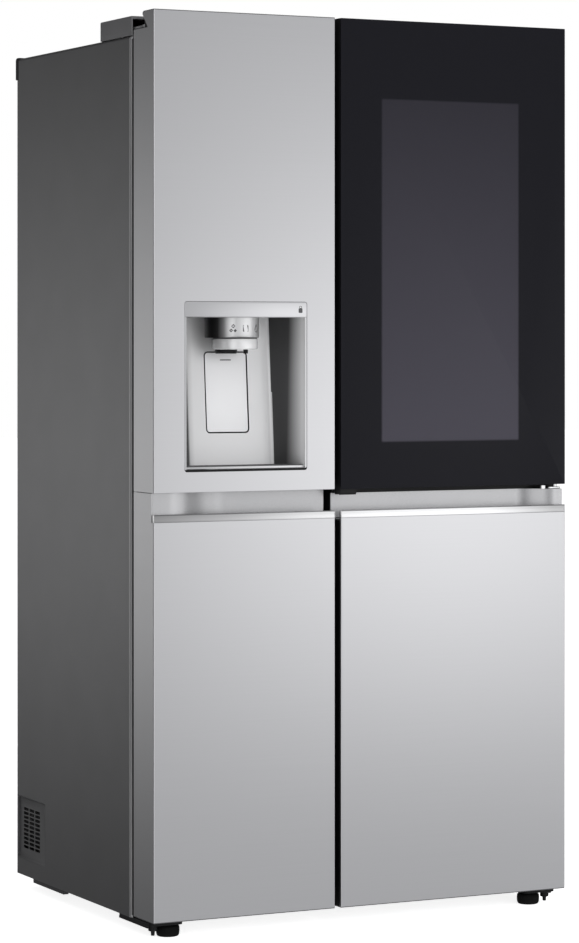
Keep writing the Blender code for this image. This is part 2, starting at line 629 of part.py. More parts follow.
def cabinet_shell():
    outer_r = 0.006
    left = arc((-HALF_W + outer_r, CASE_Z1 - outer_r), outer_r, 180, 90, 4)
    right = arc((HALF_W - outer_r, CASE_Z1 - outer_r), outer_r, 90, 0, 4)
    outline = [(-HALF_W, CASE_Z0)] + left + right + [(HALF_W, CASE_Z0)]
    inner_r = outer_r - CASE_T
    inner_left = arc((-HALF_W + outer_r, CASE_Z1 - outer_r), inner_r, 180, 90, 4)
    inner_right = arc((HALF_W - outer_r, CASE_Z1 - outer_r), inner_r, 90, 0, 4)
    inside = [(-HALF_W + CASE_T, CASE_Z0)] + inner_left + inner_right + [(HALF_W - CASE_T, CASE_Z0)]
    case = prism_y("outer_case", outline + inside[::-1], (Y_CASE, Y_PANEL - CASE_T - GAP), "case_grey")
    cut(case, corner_cut(LEFT), corner_cut(RIGHT), *vent_slots(LEFT), *vent_slots(RIGHT))

    panel = box("back_panel", (-HALF_W, HALF_W), (Y_PANEL - CASE_T, Y_PANEL), (0.300, CASE_Z1), "case_grey")
    cut(panel, corner_cut(LEFT), corner_cut(RIGHT))
    cover = box("machine_cover", (-HALF_W, HALF_W), (Y_PANEL - CASE_T, Y_PANEL), (CASE_Z0, 0.2995),
                "dark_grey")
    for column in range(4):
        x0 = -0.34 + 0.18 * column
        for row in range(5):
            z0 = 0.09 + 0.035 * row
            cut(cover, box("cutter", (x0, x0 + 0.14), (0.3, 0.4), (z0, z0 + 0.012)))
    for place, radius, bore in ((MAINS_GLAND, 0.010, 0.0038), (WATER_INLET, 0.013, 0.008)):
        centre = (place[0], 0, place[1])
        add(cover, turned("boss", [(radius, Y_PANEL - 0.001), (radius, 0.3650), (radius - 0.001, 0.3662)],
                          centre, "Y", None, 20))
        cut(cover, turned("cutter", [(bore, 0.3), (bore, 0.4)], centre, "Y", None, 20))
    for side, word in ((LEFT, "left"), (RIGHT, "right")):
        x = sorted((side * HALF_W, side * (HALF_W - 0.040)))
        box(f"rear_cap_{word}", x, (0.3495, Y_REAR), (1.703, 1.7495), "black_plastic")


def cabinet_inside():
    wall = HALF_W - CASE_T - GAP
    front = Y_CASE + 0.0023
    profile = [(front, 0.036), (0.050, 0.036), (0.090, 0.300), (0.3544, 0.300)]
    profile += [(0.3544, CASE_Z1 - 0.0024), (front, CASE_Z1 - 0.0024)]
    foam = prism_x("insulation", profile, (-wall, wall), "foam")
    for x in (FREEZER_X, FRIDGE_X):
        cut(foam, room("cutter", x, LINER_T + GAP, Y_CASE - OVER))
    # the foam keeps clear of the case's rounded top corners and of the rear caps
    for side in (LEFT, RIGHT):
        x = sorted((side * (HALF_W + OVER), side * (HALF_W - 0.006)))
        cut(foam, box("cutter", x, (-0.4, 0.4), (CASE_Z1 - 0.006, 1.8)), corner_cut(side))

    frame = box("front_frame", (-wall, wall), (Y_CASE, Y_CASE + 0.002),
                (CASE_Z0 + 0.004, CASE_Z1 - 0.0024), "case_grey")
    for side in (LEFT, RIGHT):
        x = sorted((side * (HALF_W + OVER), side * (HALF_W - 0.006)))
        cut(frame, box("cutter", x, (-0.4, 0.4), (CASE_Z1 - 0.006, 1.8)))
    for x in (FREEZER_X, FRIDGE_X):
        cut(frame, room("cutter", x, LINER_T + GAP, Y_CASE - OVER))

    for name, x, shelves in (("freezer_liner", FREEZER_X, FREEZER_SHELVES),
                             ("fridge_liner", FRIDGE_X, FRIDGE_SHELVES)):
        liner = room(name, x, LINER_T, Y_CASE, "white_plastic")
        cut(liner, room("cutter", x, 0.0, Y_CASE - OVER))
        for z0 in (*shelves, TUB_RAIL_Z):
            for wall_x, inward in ((x[0], 1), (x[1], -1)):
                span = sorted((wall_x - inward * 0.001, wall_x + inward * 0.009))
                add(liner, box("rail", span, (SHELF_Y0 + 0.01, SHELF_Y1), (z0 - 0.008, z0)))


def shelf(name, x, z0):
    """Glass plate with a moulded front edge."""
    gap = 0.0006
    plate = box(name, (x[0] + gap, x[1] - gap), (SHELF_Y0 + 0.006, SHELF_Y1), (z0 + GAP, z0 + 0.0055),
                "glass_clear")
    nose = box("nose", (x[0] + gap, x[1] - gap), (SHELF_Y0 - 0.002, SHELF_Y0 + 0.009),
               (z0 - 0.008, z0 + 0.012))
    return add(plate, nose)


def drawer(name, x, y1, z, place):
    """Clear tub with a grip along its front."""
    side_gap = 0.004                # the upper tubs' edges stand on the rails
    tub = open_box(name, (x[0] + side_gap, x[1] - side_gap), (SHELF_Y0, y1), z, 0.003, "clear")
    grip = box("grip", (x[0] + side_gap + 0.03, x[1] - side_gap - 0.03), (SHELF_Y0 - 0.012, SHELF_Y0 + 0.001),
               (z[1] - 0.030, z[1] - 0.012))
    add(tub, grip)
    pivot(place, ((x[0] + x[1]) / 2, SHELF_Y0, z[0]), [tub])


def storage():
    shelf("freezer_shelf", FREEZER_X, FREEZER_SHELVES[0])
    for number, z0 in enumerate(FRIDGE_SHELVES, 1):
        shelf(f"fridge_shelf_{number}", FRIDGE_X, z0)
    for word, x in (("freezer_drawer", FREEZER_X), ("crisper", FRIDGE_X)):
        drawer(f"{word}_upper", x, SHELF_Y1 - 0.004, (TUB_RAIL_Z + 0.0005, 0.620), f"{word}_upper_slide")
        drawer(f"{word}_lower", x, STEP_DRAWER_Y1, (ROOM_Z0 + 0.0005, 0.335), f"{word}_lower_slide")


def cooling():
    """Evaporator and its cover behind the freezer; compressor, condenser and fan low down."""
    duct = box("freezer_duct", (FREEZER_X[0] + 0.001, FREEZER_X[1] - 0.001), (0.236, ROOM_Y1 - 0.001),
               (STEP_Z + 0.001, 1.660), "white_plastic")
    cut(duct, box("cutter", (FREEZER_X[0] + 0.005, FREEZER_X[1] - 0.005), (0.240, 0.4), (0.345, 1.656)))
    for row in range(5):
        z0 = 0.68 + 0.22 * row
        cut(duct, box("cutter", (-0.335, -0.163), (0.2, 0.25), (z0, z0 + 0.012)))

    coil = box("evaporator", (-0.385, -0.113), (0.250, 0.254), (0.42, 0.86), "aluminium")
    for row in range(12):
        z0 = 0.43 + 0.0365 * row
        add(coil, box("fin", (-0.385, -0.113), (0.2535, 0.292), (z0, z0 + 0.004)))

    floor = CASE_Z0 + 0.002
    dome = [(0.050, floor + 0.012), (0.078, floor + 0.020), (0.086, floor + 0.045), (0.086, floor + 0.105)]
    dome += [(0.080, floor + 0.130), (0.060, floor + 0.150), (0.030, floor + 0.158)]
    compressor = turned("compressor", dome, (0.22, 0.225, 0), "Z", "black_plastic", 24)
    add(compressor, box("mount", (0.13, 0.31), (0.20, 0.25), (floor + GAP, floor + 0.016)))

    condenser = box("condenser", (-0.34, -0.336), (0.14, 0.30), (0.05, 0.21), "copper")
    add(condenser, box("spine", (-0.34, -0.10), (0.215, 0.225), (0.05, 0.054)))
    for row in range(1, 13):
        x0 = -0.34 + 0.0197 * row
        add(condenser, box("fin", (x0, x0 + 0.003), (0.14, 0.30), (0.05, 0.21)))

    hub = turned("condenser_fan", [(0.018, -0.012), (0.018, 0.012)], (-0.03, 0.22, 0.13), "X",
                 "black_plastic", 20)
    for blade in range(5):
        turn = Matrix.Rotation(2 * math.pi * blade / 5, 4, "X")
        vane = box("vane", (-0.0015, 0.0015), (-0.016, 0.016), (0.012, 0.070))
        twist = Matrix.Rotation(math.radians(35), 4, "Z")
        vane.data.transform(Matrix.Translation((-0.03, 0.22, 0.13)) @ turn @ twist)
        add(hub, vane)
    pivot("condenser_fan_axis", (-0.03, 0.22, 0.13), [hub])


def base_pan():
    """Floor of the machine room with the side rails, the roller ears and the fan's bracket."""
    wall = HALF_W - CASE_T - GAP
    pan = box("base_pan", (-wall, wall), (Y_CASE + 0.0023, 0.3544), (CASE_Z0, CASE_Z0 + 0.002), "zinc")
    for side in (LEFT, RIGHT):
        rail_x = sorted((side * wall, side * (wall - 0.012)))
        add(pan, box("rail", rail_x, (0.1025, 0.2705), (0.0218, CASE_Z0 + 0.001)))
        for ear in (ROLLER_X - 0.020, ROLLER_X + 0.017):
            x = sorted((side * ear, side * (ear + 0.003)))
            add(pan, box("ear", x, (ROLLER_Y - 0.015, ROLLER_Y + 0.015), (0.010, CASE_Z0 + 0.001)))
        x = sorted((side * (ROLLER_X - 0.0165), side * (ROLLER_X + 0.0165)))
        cut(pan, box("cutter", x, (ROLLER_Y - 0.024, ROLLER_Y + 0.024), (0.0, 0.1)),
            turned("cutter", [(0.0044, -0.05), (0.0044, 0.05)], (side * ROLLER_X, ROLLER_Y, ROLLER_R), "X"))
    add(pan, box("bracket", (0.000, 0.010), (0.205, 0.235), (CASE_Z0, 0.150)),
        turned("motor", [(0.016, 0.0), (0.016, 0.030)], (-0.012, 0.22, 0.13), "X", None, 20))


def supports():
    for side, word in ((LEFT, "left"), (RIGHT, "right")):
        centre = (side * ROLLER_X, ROLLER_Y, ROLLER_R)
        wheel = [(0.004, -0.022), (0.004, -0.014), (ROLLER_R, -0.013), (ROLLER_R, 0.013), (0.004, 0.014)]
        roller = turned(f"rear_roller_{word}", wheel + [(0.004, 0.022)], centre, "X", "rubber", 32)
        pivot(f"rear_roller_{word}_axle", centre, [roller])

        profile = [(FOOT_R - 0.004, 0.0), (FOOT_R - 0.001, 0.0035), (FOOT_R, 0.008), (FOOT_R, 0.0175)]
        profile += [(FOOT_R - 0.0012, 0.0215), (0.009, 0.0225), (0.009, 0.0235)]
        profile += [(0.005, 0.0238), (0.005, 0.0298)]
        place = (door_x(side, FOOT_U), door_y(FOOT_V), 0)
        foot = turned(f"foot_{word}", profile, place, "Z", "rubber", 32)
        pivot(f"foot_{word}_screw", place, [foot])


def hinges():
    for side, word in ((LEFT, "left"), (RIGHT, "right")):
        arm_half = 0.0135
        arm_z = (1.7600, 1.7640)
        nose = arc((HINGE_U, HINGE_V), arm_half, 180, 360, 10)
        outline = nose + [(HINGE_U + arm_half, 0.250), (HINGE_U - arm_half, 0.250)]
        top = door_prism(f"top_hinge_{word}", side, outline, arm_z, "zinc")
        add(top, door_box("base", side, (HINGE_U - arm_half, 0.080), (0.150, 0.250),
                          (CASE_Z1 + GAP, arm_z[1])),
            door_pin("pin", side, HINGE_U, HINGE_V, (NOTCH_Z - 0.027, arm_z[0] + 0.001), PIN_R))

        cover_v = (DOOR_T + SEAL_GAP, 0.2706)
        cover = door_box(f"hinge_cover_{word}", side, (0.0, 0.100), cover_v, (CASE_Z1 + GAP, 1.786),
                         "case_grey")
        cut(cover, door_box("cutter", side, (0.0025, 0.0975), (cover_v[0] + 0.0025, cover_v[1] - 0.0025),
                            (1.7, 1.7835)),
            door_box("cutter", side, (0.004, 0.036), (0.1, cover_v[0] + 0.01), (1.7, 1.7660)))

        plate = door_box(f"bottom_hinge_{word}", side, (0.006, 0.076), (0.030, 0.250), BRACKET_Z,
                         "black_plastic")
        add(plate, door_pin("pin", side, HINGE_U, HINGE_V, (BRACKET_Z[0] + 0.001, 0.060), PIN_R),
            door_pin("boss", side, HINGE_U, HINGE_V, (0.0125, BRACKET_Z[0] + 0.002), 0.0085),
            door_pin("adjuster", side, HINGE_U, HINGE_V, (0.004, 0.014), 0.004))
        cut(plate, door_pin("cutter", side, FOOT_U, FOOT_V, (0.0, 0.05), BORE_R))


def main():
    clear_scene()
    cabinet_shell()
    cabinet_inside()
    storage()
    cooling()
    base_pan()
    supports()
    hinges()
    freezer_door()
    fridge_door()


main()
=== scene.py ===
"""Looks of a side by side refrigerator with a water and ice dispenser and a glass door-in-door.

Metres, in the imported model's frame: +Z up, the doors face -Y, the origin is on the floor.
Door pieces use door coordinates: u = distance in from the cabinet's outer side,
v = depth behind the door's front, z = height.
"""
import json
import math

import bmesh
import bpy
from mathutils import Matrix, Vector


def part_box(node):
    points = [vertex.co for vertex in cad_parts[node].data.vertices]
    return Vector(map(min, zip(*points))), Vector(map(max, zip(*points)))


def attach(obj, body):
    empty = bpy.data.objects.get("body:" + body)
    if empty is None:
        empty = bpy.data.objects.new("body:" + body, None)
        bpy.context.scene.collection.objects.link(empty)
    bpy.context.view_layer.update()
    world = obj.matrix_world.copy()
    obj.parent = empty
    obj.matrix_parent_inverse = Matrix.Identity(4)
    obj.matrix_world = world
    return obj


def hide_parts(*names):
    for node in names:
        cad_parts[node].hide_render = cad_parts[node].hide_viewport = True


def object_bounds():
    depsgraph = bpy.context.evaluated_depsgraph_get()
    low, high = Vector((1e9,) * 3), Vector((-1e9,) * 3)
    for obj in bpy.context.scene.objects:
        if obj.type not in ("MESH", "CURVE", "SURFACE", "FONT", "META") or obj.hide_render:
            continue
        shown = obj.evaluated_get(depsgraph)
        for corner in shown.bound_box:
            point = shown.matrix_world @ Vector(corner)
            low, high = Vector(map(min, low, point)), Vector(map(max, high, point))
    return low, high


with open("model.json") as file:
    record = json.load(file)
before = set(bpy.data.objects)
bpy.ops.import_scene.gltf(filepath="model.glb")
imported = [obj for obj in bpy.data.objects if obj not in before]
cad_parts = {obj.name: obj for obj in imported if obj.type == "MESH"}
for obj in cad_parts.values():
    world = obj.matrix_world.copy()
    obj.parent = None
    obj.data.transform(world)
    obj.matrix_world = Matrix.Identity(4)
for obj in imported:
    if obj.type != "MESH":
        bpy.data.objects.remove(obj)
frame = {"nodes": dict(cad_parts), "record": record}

CAD_LOW, CAD_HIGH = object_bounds()
LEFT, RIGHT = -1, 1
HALF_W = CAD_HIGH.x
Y_FRONT = CAD_LOW.y
TOP = CAD_HIGH.z

SHEET = 0.0015                      # steel skins
GAP = 0.0003                        # between touching pieces
AXES = {
    "X": lambda a, b, c: (c, a, b),
    "Y": lambda a, b, c: (a, c, b),
    "Z": lambda a, b, c: (a, b, c),
}


# ---------------------------------------------------------------- door coordinates
def door_x(side, u):
    return side * (HALF_W - u)


def door_y(v):
    return Y_FRONT + v


def y_span(v):
    return door_y(v[0]), door_y(v[1])


def x_span(side, u0, u1):
    """The x range between two distances in from the outer side, smallest first."""
    return sorted((door_x(side, u0), door_x(side, u1)))


def door_width(side):
    low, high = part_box("freezer_lower_skin" if side == LEFT else "fridge_lower_skin")
    return high.x - low.x


def u_range(node, side):
    """A node's extent in u, smallest first."""
    low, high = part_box(node)
    return tuple(sorted((HALF_W - side * low.x, HALF_W - side * high.x)))


def v_range(node):
    low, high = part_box(node)
    return low.y - Y_FRONT, high.y - Y_FRONT


def z_range(node):
    low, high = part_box(node)
    return low.z, high.z


def door_ranges(node, side):
    """A node's extents in u, v and z."""
    return u_range(node, side), v_range(node), z_range(node)


def middle(pair):
    return (pair[0] + pair[1]) / 2


# ---------------------------------------------------------------- mesh helpers
def stitch(bm, rows, closed_rows=False, closed_points=True):
    """Faces between neighbouring rows of points; gives the rows' vertices back."""
    rows = [[bm.verts.new(point) for point in row] for row in rows]
    count = len(rows[0])
    for first, second in zip(rows, rows[1:] + (rows[:1] if closed_rows else [])):
        for i in range(count if closed_points else count - 1):
            j = (i + 1) % count
            bm.faces.new((first[i], first[j], second[j], second[i]))
    return rows


def loft(rings, bm=None):
    """Closed body through rings that all have the same number of points."""
    bm = bm or bmesh.new()
    rows = stitch(bm, rings)
    bm.faces.new(rows[0])
    bm.faces.new(rows[-1])
    return bm


def prism(outline, axis, levels, bm=None):
    """Outline of 2D points, run along an axis through the given levels."""
    return loft([[AXES[axis](a, b, level) for a, b in outline] for level in levels], bm)


def block(x, y, z):
    """Box from three (low, high) pairs."""
    return prism([(x[0], y[0]), (x[1], y[0]), (x[1], y[1]), (x[0], y[1])], "Z", z)


def door_block(side, u, v, z):
    return block(x_span(side, *u), y_span(v), z)


def door_prism(side, outline, levels):
    """Outline of (u, v) points, run along Z."""
    return prism([(door_x(side, u), door_y(v)) for u, v in outline], "Z", levels)


def quarter_turn():
    """(1 - sine, 1 - cosine) from 0 to 90 degrees, for round edges."""
    angles = [math.radians(90 * i / 6) for i in range(7)]
    return [(1 - math.sin(angle), 1 - math.cos(angle)) for angle in angles]


def side_prism(section, x):
    """Section of (v, z) points, run along X."""
    return prism([(door_y(v), z) for v, z in section], "X", x)


def lathe(profile, centre, sides, axis="Z", bm=None):
    """Turned body: profile is (radius, height) pairs."""
    turn = {"Z": Matrix.Identity(3), "X": Matrix.Rotation(math.pi / 2, 3, "Y"),
            "Y": Matrix.Rotation(-math.pi / 2, 3, "X")}[axis]
    rings = []
    for radius, level in profile:
        ring = []
        for i in range(sides):
            angle = 2 * math.pi * i / sides
            point = Vector((radius * math.cos(angle), radius * math.sin(angle), level))
            ring.append(turn @ point + Vector(centre))
        rings.append(ring)
    return loft(rings, bm)


def door_lathe(side, u, v, profile, sides, bm=None):
    """Turned body on an upright axis at a place in door coordinates."""
    return lathe(profile, (door_x(side, u), door_y(v), 0), sides, bm=bm)


def arc(centre, radius, start, end, steps=8):
    """Points on a circle, angles in degrees."""
    points = []
    for i in range(steps + 1):
        angle = math.radians(start + (end - start) * i / steps)
        points.append((centre[0] + radius * math.cos(angle), centre[1] + radius * math.sin(angle)))
    return points


def rounded_box(a, b, radius, steps=6):
    """Rectangle outline with round corners; a and b are (low, high) pairs."""
    return (arc((a[1] - radius, b[1] - radius), radius, 0, 90, steps)
            + arc((a[0] + radius, b[1] - radius), radius, 90, 180, steps)
            + arc((a[0] + radius, b[0] + radius), radius, 180, 270, steps)
            + arc((a[1] - radius, b[0] + radius), radius, 270, 360, steps))


def soften(bm, width, segments=3, angle=35):
    """Round every edge that is sharper than the angle."""
    bmesh.ops.recalc_face_normals(bm, faces=bm.faces)
    sharp = [edge for edge in bm.edges
             if edge.is_manifold and edge.calc_face_angle(0.0) > math.radians(angle)]
    bmesh.ops.bevel(bm, geom=sharp, offset=width, offset_type="OFFSET", segments=segments,
                    profile=0.5, affect="EDGES", clamp_overlap=True)
    return bm


def mesh_object(name, bm, finish=None, angle=35):
    bmesh.ops.recalc_face_normals(bm, faces=bm.faces)
    mesh = bpy.data.meshes.new(name)
    bm.to_mesh(mesh)
    bm.free()
    mesh.shade_smooth()
    mesh.set_sharp_from_angle(angle=math.radians(angle))
    if finish:
        mesh.materials.append(finish)
    obj = bpy.data.objects.new(name, mesh)
    bpy.context.scene.collection.objects.link(obj)
    return obj


def cut(obj, bm, angle=35):
    """Cut the bmesh's body from an object."""
    other = mesh_object("cutter", bm)
    modifier = obj.modifiers.new("cut", "BOOLEAN")
    modifier.operation = "DIFFERENCE"
    modifier.solver = "EXACT"
    modifier.object = other
    bpy.context.view_layer.update()
    graph = bpy.context.evaluated_depsgraph_get()
    mesh = bpy.data.meshes.new_from_object(obj.evaluated_get(graph))
    obj.modifiers.clear()
    obj.data = mesh
    mesh.set_sharp_from_angle(angle=math.radians(angle))
    bpy.data.objects.remove(other, do_unlink=True)


def soften_object(obj, width):
    """Round an object's sharp edges after its cuts."""
    bm = bmesh.new()
    bm.from_mesh(obj.data)
    soften(bm, width)
    bm.to_mesh(obj.data)
    bm.free()
    obj.data.shade_smooth()
    obj.data.set_sharp_from_angle(angle=math.radians(35))


def frame_moulding(a, b, radius, section, axis, bm):
    """Closed section of (inset, level) points, run round a rectangle with round corners."""
    bm = bm or bmesh.new()
    rows = []
    for inset, level in section:
        outline = rounded_box((a[0] + inset, a[1] - inset), (b[0] + inset, b[1] - inset),
                              max(radius - inset, 0.0004), 5)
        rows.append([AXES[axis](p, q, level) for p, q in outline])
    stitch(bm, rows, closed_rows=True)
    return bm


def door_moulding(side, u, z, radius, section, bm=None):
    """Frame moulding in door coordinates: insets from the u and z ranges, levels in v."""
    levels = [(inset, door_y(v)) for inset, v in section]
    return frame_moulding(x_span(side, *u), z, radius, levels, "Y", bm)


def ease_nodes(width, *names):
    """Round the sharp edges of CAD nodes that stay."""
    for name in names:
        obj = frame["nodes"][name]
        weld = obj.modifiers.new("weld", "WELD")
        weld.merge_threshold = 0.00001
        bevel = obj.modifiers.new("edges", "BEVEL")
        bevel.width = width
        bevel.segments = 2
        bevel.limit_method = "ANGLE"
        bevel.angle_limit = math.radians(40)
        bevel.harden_normals = True


def settle(obj, body, slot, *nodes):
    """Ride on a body and stand for CAD nodes; the slot is not used."""
    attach(obj, body)
    if nodes:
        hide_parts(*nodes)


def piece(name, bm, finish, body, slot, *nodes, angle=35, cuts=()):
    """Make an object, take the cuts from it and settle it."""
    obj = mesh_object(name, bm, finish, angle)
    for cutter in cuts:
        cut(obj, cutter, angle)
    settle(obj, body, slot, *nodes)


# ---------------------------------------------------------------- materials
def principled(name, colour, roughness, metallic=0.0, **sockets):
    """Material with its Principled shader; extra sockets by name with _ for spaces."""
    material = bpy.data.materials.new(name)
    material.use_nodes = True
    shader = material.node_tree.nodes["Principled BSDF"]
    shader.inputs["Base Color"].default_value = (*colour, 1.0)
    shader.inputs["Roughness"].default_value = roughness
    shader.inputs["Metallic"].default_value = metallic
    for socket, value in sockets.items():
        shader.inputs[socket.replace("_", " ")].default_value = value
    return material


def node(owner, kind, inputs=None, **values):
    """New node in a material or world; inputs are numbers, colours or other nodes' outputs."""
    tree = owner.node_tree
    made = tree.nodes.new(kind)
    for key, value in values.items():
        setattr(made, key, value)
    for socket, value in (inputs or {}).items():
        if isinstance(value, bpy.types.NodeSocket):
            tree.links.new(value, made.inputs[socket])
        else:
            made.inputs[socket].default_value = value
    return made


def drive(material, **sources):
    """Feed sockets of the material's Principled shader; names with _ for spaces."""
    shader = material.node_tree.nodes["Principled BSDF"]
    for socket, source in sources.items():
        material.node_tree.links.new(source, shader.inputs[socket.replace("_", " ")])


def maths(owner, operation, first, second):
    return node(owner, "ShaderNodeMath", {0: first, 1: second}, operation=operation).outputs["Value"]


def remap(owner, source, low, high, start=0.3, end=0.7, interpolation="LINEAR"):
    """Numbers from low to high while the source goes from start to end; noise stays near 0.3 to 0.7."""
    inputs = {"Value": source, "From Min": start, "From Max": end, "To Min": low, "To Max": high}
    return node(owner, "ShaderNodeMapRange", inputs, interpolation_type=interpolation).outputs["Result"]


def ramp(material, source, stops, interpolation="LINEAR"):
    """Colours at (position, colour) stops."""
    made = node(material, "ShaderNodeValToRGB", {"Fac": source})
    made.color_ramp.interpolation = interpolation
    elements = made.color_ramp.elements
    for _ in range(len(stops) - 2):
        elements.new(0.5)
    for element, (position, colour) in zip(elements, stops):
        element.position = position
        element.color = (*colour, 1.0)
    return made.outputs["Color"]


def object_axis(material):
    """The object's own coordinates, one output for each axis."""
    coords = node(material, "ShaderNodeTexCoord")
    return node(material, "ShaderNodeSeparateXYZ", {"Vector": coords.outputs["Object"]}).outputs


def stretched_noise(material, scale, stretch=(1, 1, 1), detail=3.0):
    """Noise on the object's own coordinates, stretched along some axes."""
    coords = node(material, "ShaderNodeTexCoord")
    mapping = node(material, "ShaderNodeMapping", {"Scale": stretch, "Vector": coords.outputs["Object"]})
    inputs = {"Scale": scale, "Detail": detail, "Vector": mapping.outputs["Vector"]}
    return node(material, "ShaderNodeTexNoise", inputs).outputs["Fac"]


def vary_colour(material, source, colour, spread):
    """Base colour that moves a little around its middle."""
    darker = [c * (1 - spread) for c in colour]
    lighter = [min(1.0, c * (1 + spread)) for c in colour]
    drive(material, Base_Color=ramp(material, source, ((0.3, darker), (0.7, lighter))))


def bump(material, source, distance, strength):
    inputs = {"Distance": distance, "Strength": strength, "Height": source}
    drive(material, Normal=node(material, "ShaderNodeBump", inputs).outputs["Normal"])


def brushed(name, colour, roughness, spread=0.05, stretch=(3.0, 3.0, 420.0), depth=0.00002, play=0.05):
    """Metal with a fine horizontal grain; play is how much its roughness varies."""
    material = principled(name, colour, roughness, 1.0)
    grain = stretched_noise(material, 1.0, stretch, 4.0)
    vary_colour(material, grain, colour, spread)
    drive(material, Roughness=remap(material, grain, roughness - play, roughness + play))
    bump(material, grain, depth, 0.5)
    return material


def moulded(name, colour, roughness, pebble=0.00003, scale=1400.0, spread=0.06, **sockets):
    """Plastic or paint with a fine texture and slightly uneven colour and gloss."""
    material = principled(name, colour, roughness, **sockets)
    vary_colour(material, stretched_noise(material, 9.0), colour, spread)
    fine = stretched_noise(material, scale, detail=2.0)
    drive(material, Roughness=remap(material, fine, roughness - 0.04, roughness + 0.05))
    bump(material, fine, pebble, 0.6)
    return material


STEEL = brushed("brushed_steel", (0.71, 0.71, 0.725), 0.30, 0.008, depth=0.0000015, play=0.015)
# darker copy of the steel for the door skins' sides: painted shade
STEEL_SIDE_PAINTED_SHADE = brushed("brushed_steel_side_painted_shade", (0.54, 0.54, 0.55), 0.32, 0.012, depth=0.0000015, play=0.015)
POLISHED = brushed("polished_aluminium", (0.86, 0.86, 0.87), 0.14, 0.02, (2.0, 2.0, 300.0))
SATIN = brushed("satin_metal", (0.72, 0.72, 0.73), 0.30, 0.015, (3.0, 3.0, 300.0), 0.000003, 0.015)
CASE = moulded("case_paint", (0.178, 0.178, 0.181), 0.36, 0.00006, 1500.0, 0.03, metallic=0.95)
POCKET = moulded("pocket_silver", (0.50, 0.50, 0.51), 0.30, 0.00001, 1500.0, 0.02, metallic=0.85)
LEVER = moulded("lever_silver", (0.62, 0.62, 0.63), 0.42, 0.00001, 1500.0, 0.01, metallic=0.2)
BLACK = moulded("black_plastic", (0.006, 0.006, 0.0065), 0.48, 0.00004, Specular_IOR_Level=0.25)
RUBBER = moulded("rubber", (0.004, 0.004, 0.004), 0.80, 0.00008, 900.0, Specular_IOR_Level=0.15)
GASKET = moulded("gasket", (0.012, 0.012, 0.012), 0.80, 0.00006, 700.0)
DARK = moulded("dark_grey_plastic", (0.075, 0.075, 0.078), 0.50, 0.00006)
GREY = moulded("grey_plastic", (0.12, 0.12, 0.125), 0.48, 0.00006)
WHITE = moulded("white_liner", (0.78, 0.79, 0.80), 0.32, 0.00002, 600.0, 0.02)
ZINC = moulded("zinc_plate", (0.45, 0.45, 0.46), 0.42, 0.00005, 300.0, 0.12, metallic=0.95)
PAN = moulded("base_coating", (0.05, 0.05, 0.052), 0.45, 0.00005, 300.0, 0.10, metallic=0.6)
COPPER = moulded("copper_coil", (0.55, 0.30, 0.17), 0.38, 0.00005, 300.0, 0.15, metallic=0.95)
FINS = brushed("aluminium_fins", (0.72, 0.72, 0.73), 0.35)
ENAMEL = moulded("compressor_enamel", (0.015, 0.015, 0.016), 0.28, 0.00008, 400.0)
FOAM = moulded("foam", (0.70, 0.62, 0.38), 0.9, 0.0004, 260.0, 0.15)
ICON = moulded("icon_print", (0.05, 0.05, 0.053), 0.5)
COVER = moulded("hinge_cover_plastic", (0.11, 0.11, 0.113), 0.40, 0.00005, metallic=0.3)
# lighter copy of the case paint for its front edge: painted highlight
FLANGE_PAINTED_HIGHLIGHT = moulded("flange_painted_highlight", (0.34, 0.34, 0.345), 0.34, 0.00004, 1500.0, 0.03, metallic=0.75)
LENS = moulded("lamp_lens", (0.92, 0.94, 0.96), 0.25, 0.00002, 500.0, 0.01)


def bowl_wall_painted_light():
    """Side walls of the bowl, with painted reflection and shade: bright along the front edge, dark further
    in.
    """
    material = principled("bowl_wall_painted_light", (0.5, 0.5, 0.5), 0.35, 0.15)
    # painted reflection and shade: the base colour darkens with depth into the bowl
    deep = remap(material, object_axis(material)["Y"], 0.0, 1.0, *y_span((0.014, 0.056)))
    tones = ((0.0, (0.60, 0.60, 0.605)), (1.0, (0.040, 0.040, 0.041)))
    drive(material, Base_Color=ramp(material, deep, tones),
          Roughness=remap(material, stretched_noise(material, 12.0), 0.30, 0.42))
    return material


BOWL_WALL_PAINTED_LIGHT = bowl_wall_painted_light()


def painted_light_metal(name, x_range, roughness, metallic, stops):
    """Metal with painted light: its tone changes from left to right, standing in for reflections and shade;
    stops are (share of the way, value).
    """
    material = principled(name, (0.8, 0.8, 0.8), roughness, metallic)
    along = remap(material, object_axis(material)["X"], 0.0, 1.0, *x_range)
    tones = [(position, (value, value, value * 1.01)) for position, value in stops]
    grain = stretched_noise(material, 1.0, (2.0, 2.0, 300.0))
    drive(material, Base_Color=ramp(material, along, tones),
          Roughness=remap(material, grain, roughness - 0.02, roughness + 0.03))
    return material


def node_x_range(name):
    low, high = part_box(name)
    return low.x, high.x


# lip: painted reflection, darker at the left end and bright towards the right
LIP_PAINTED_REFLECTION = painted_light_metal("lip_aluminium_painted_reflection", (-HALF_W, HALF_W), 0.10, 1.0,
                   ((0.0, 0.34), (0.20, 0.50), (0.36, 0.72), (0.52, 0.82), (0.80, 0.82), (0.97, 0.48)))
# head: painted reflection, dark on its left, bright across the middle, darker at its right edge
HEAD_PAINTED_REFLECTION = painted_light_metal("head_metal_painted_reflection", node_x_range("dispenser_head"), 0.34, 0.80,
                    ((0.0, 0.02), (0.09, 0.03), (0.18, 0.26), (0.32, 0.68), (0.85, 0.72), (0.99, 0.30)))
# ring: painted reflection across its middle and painted shade at both ends
RING_PAINTED_REFLECTION = painted_light_metal("ring_metal_painted_reflection", node_x_range("dispenser_head"), 0.22, 0.35,
                    ((0.0, 0.20), (0.05, 0.55), (0.25, 0.50), (0.40, 0.58), (0.85, 0.60), (0.94, 0.16)))
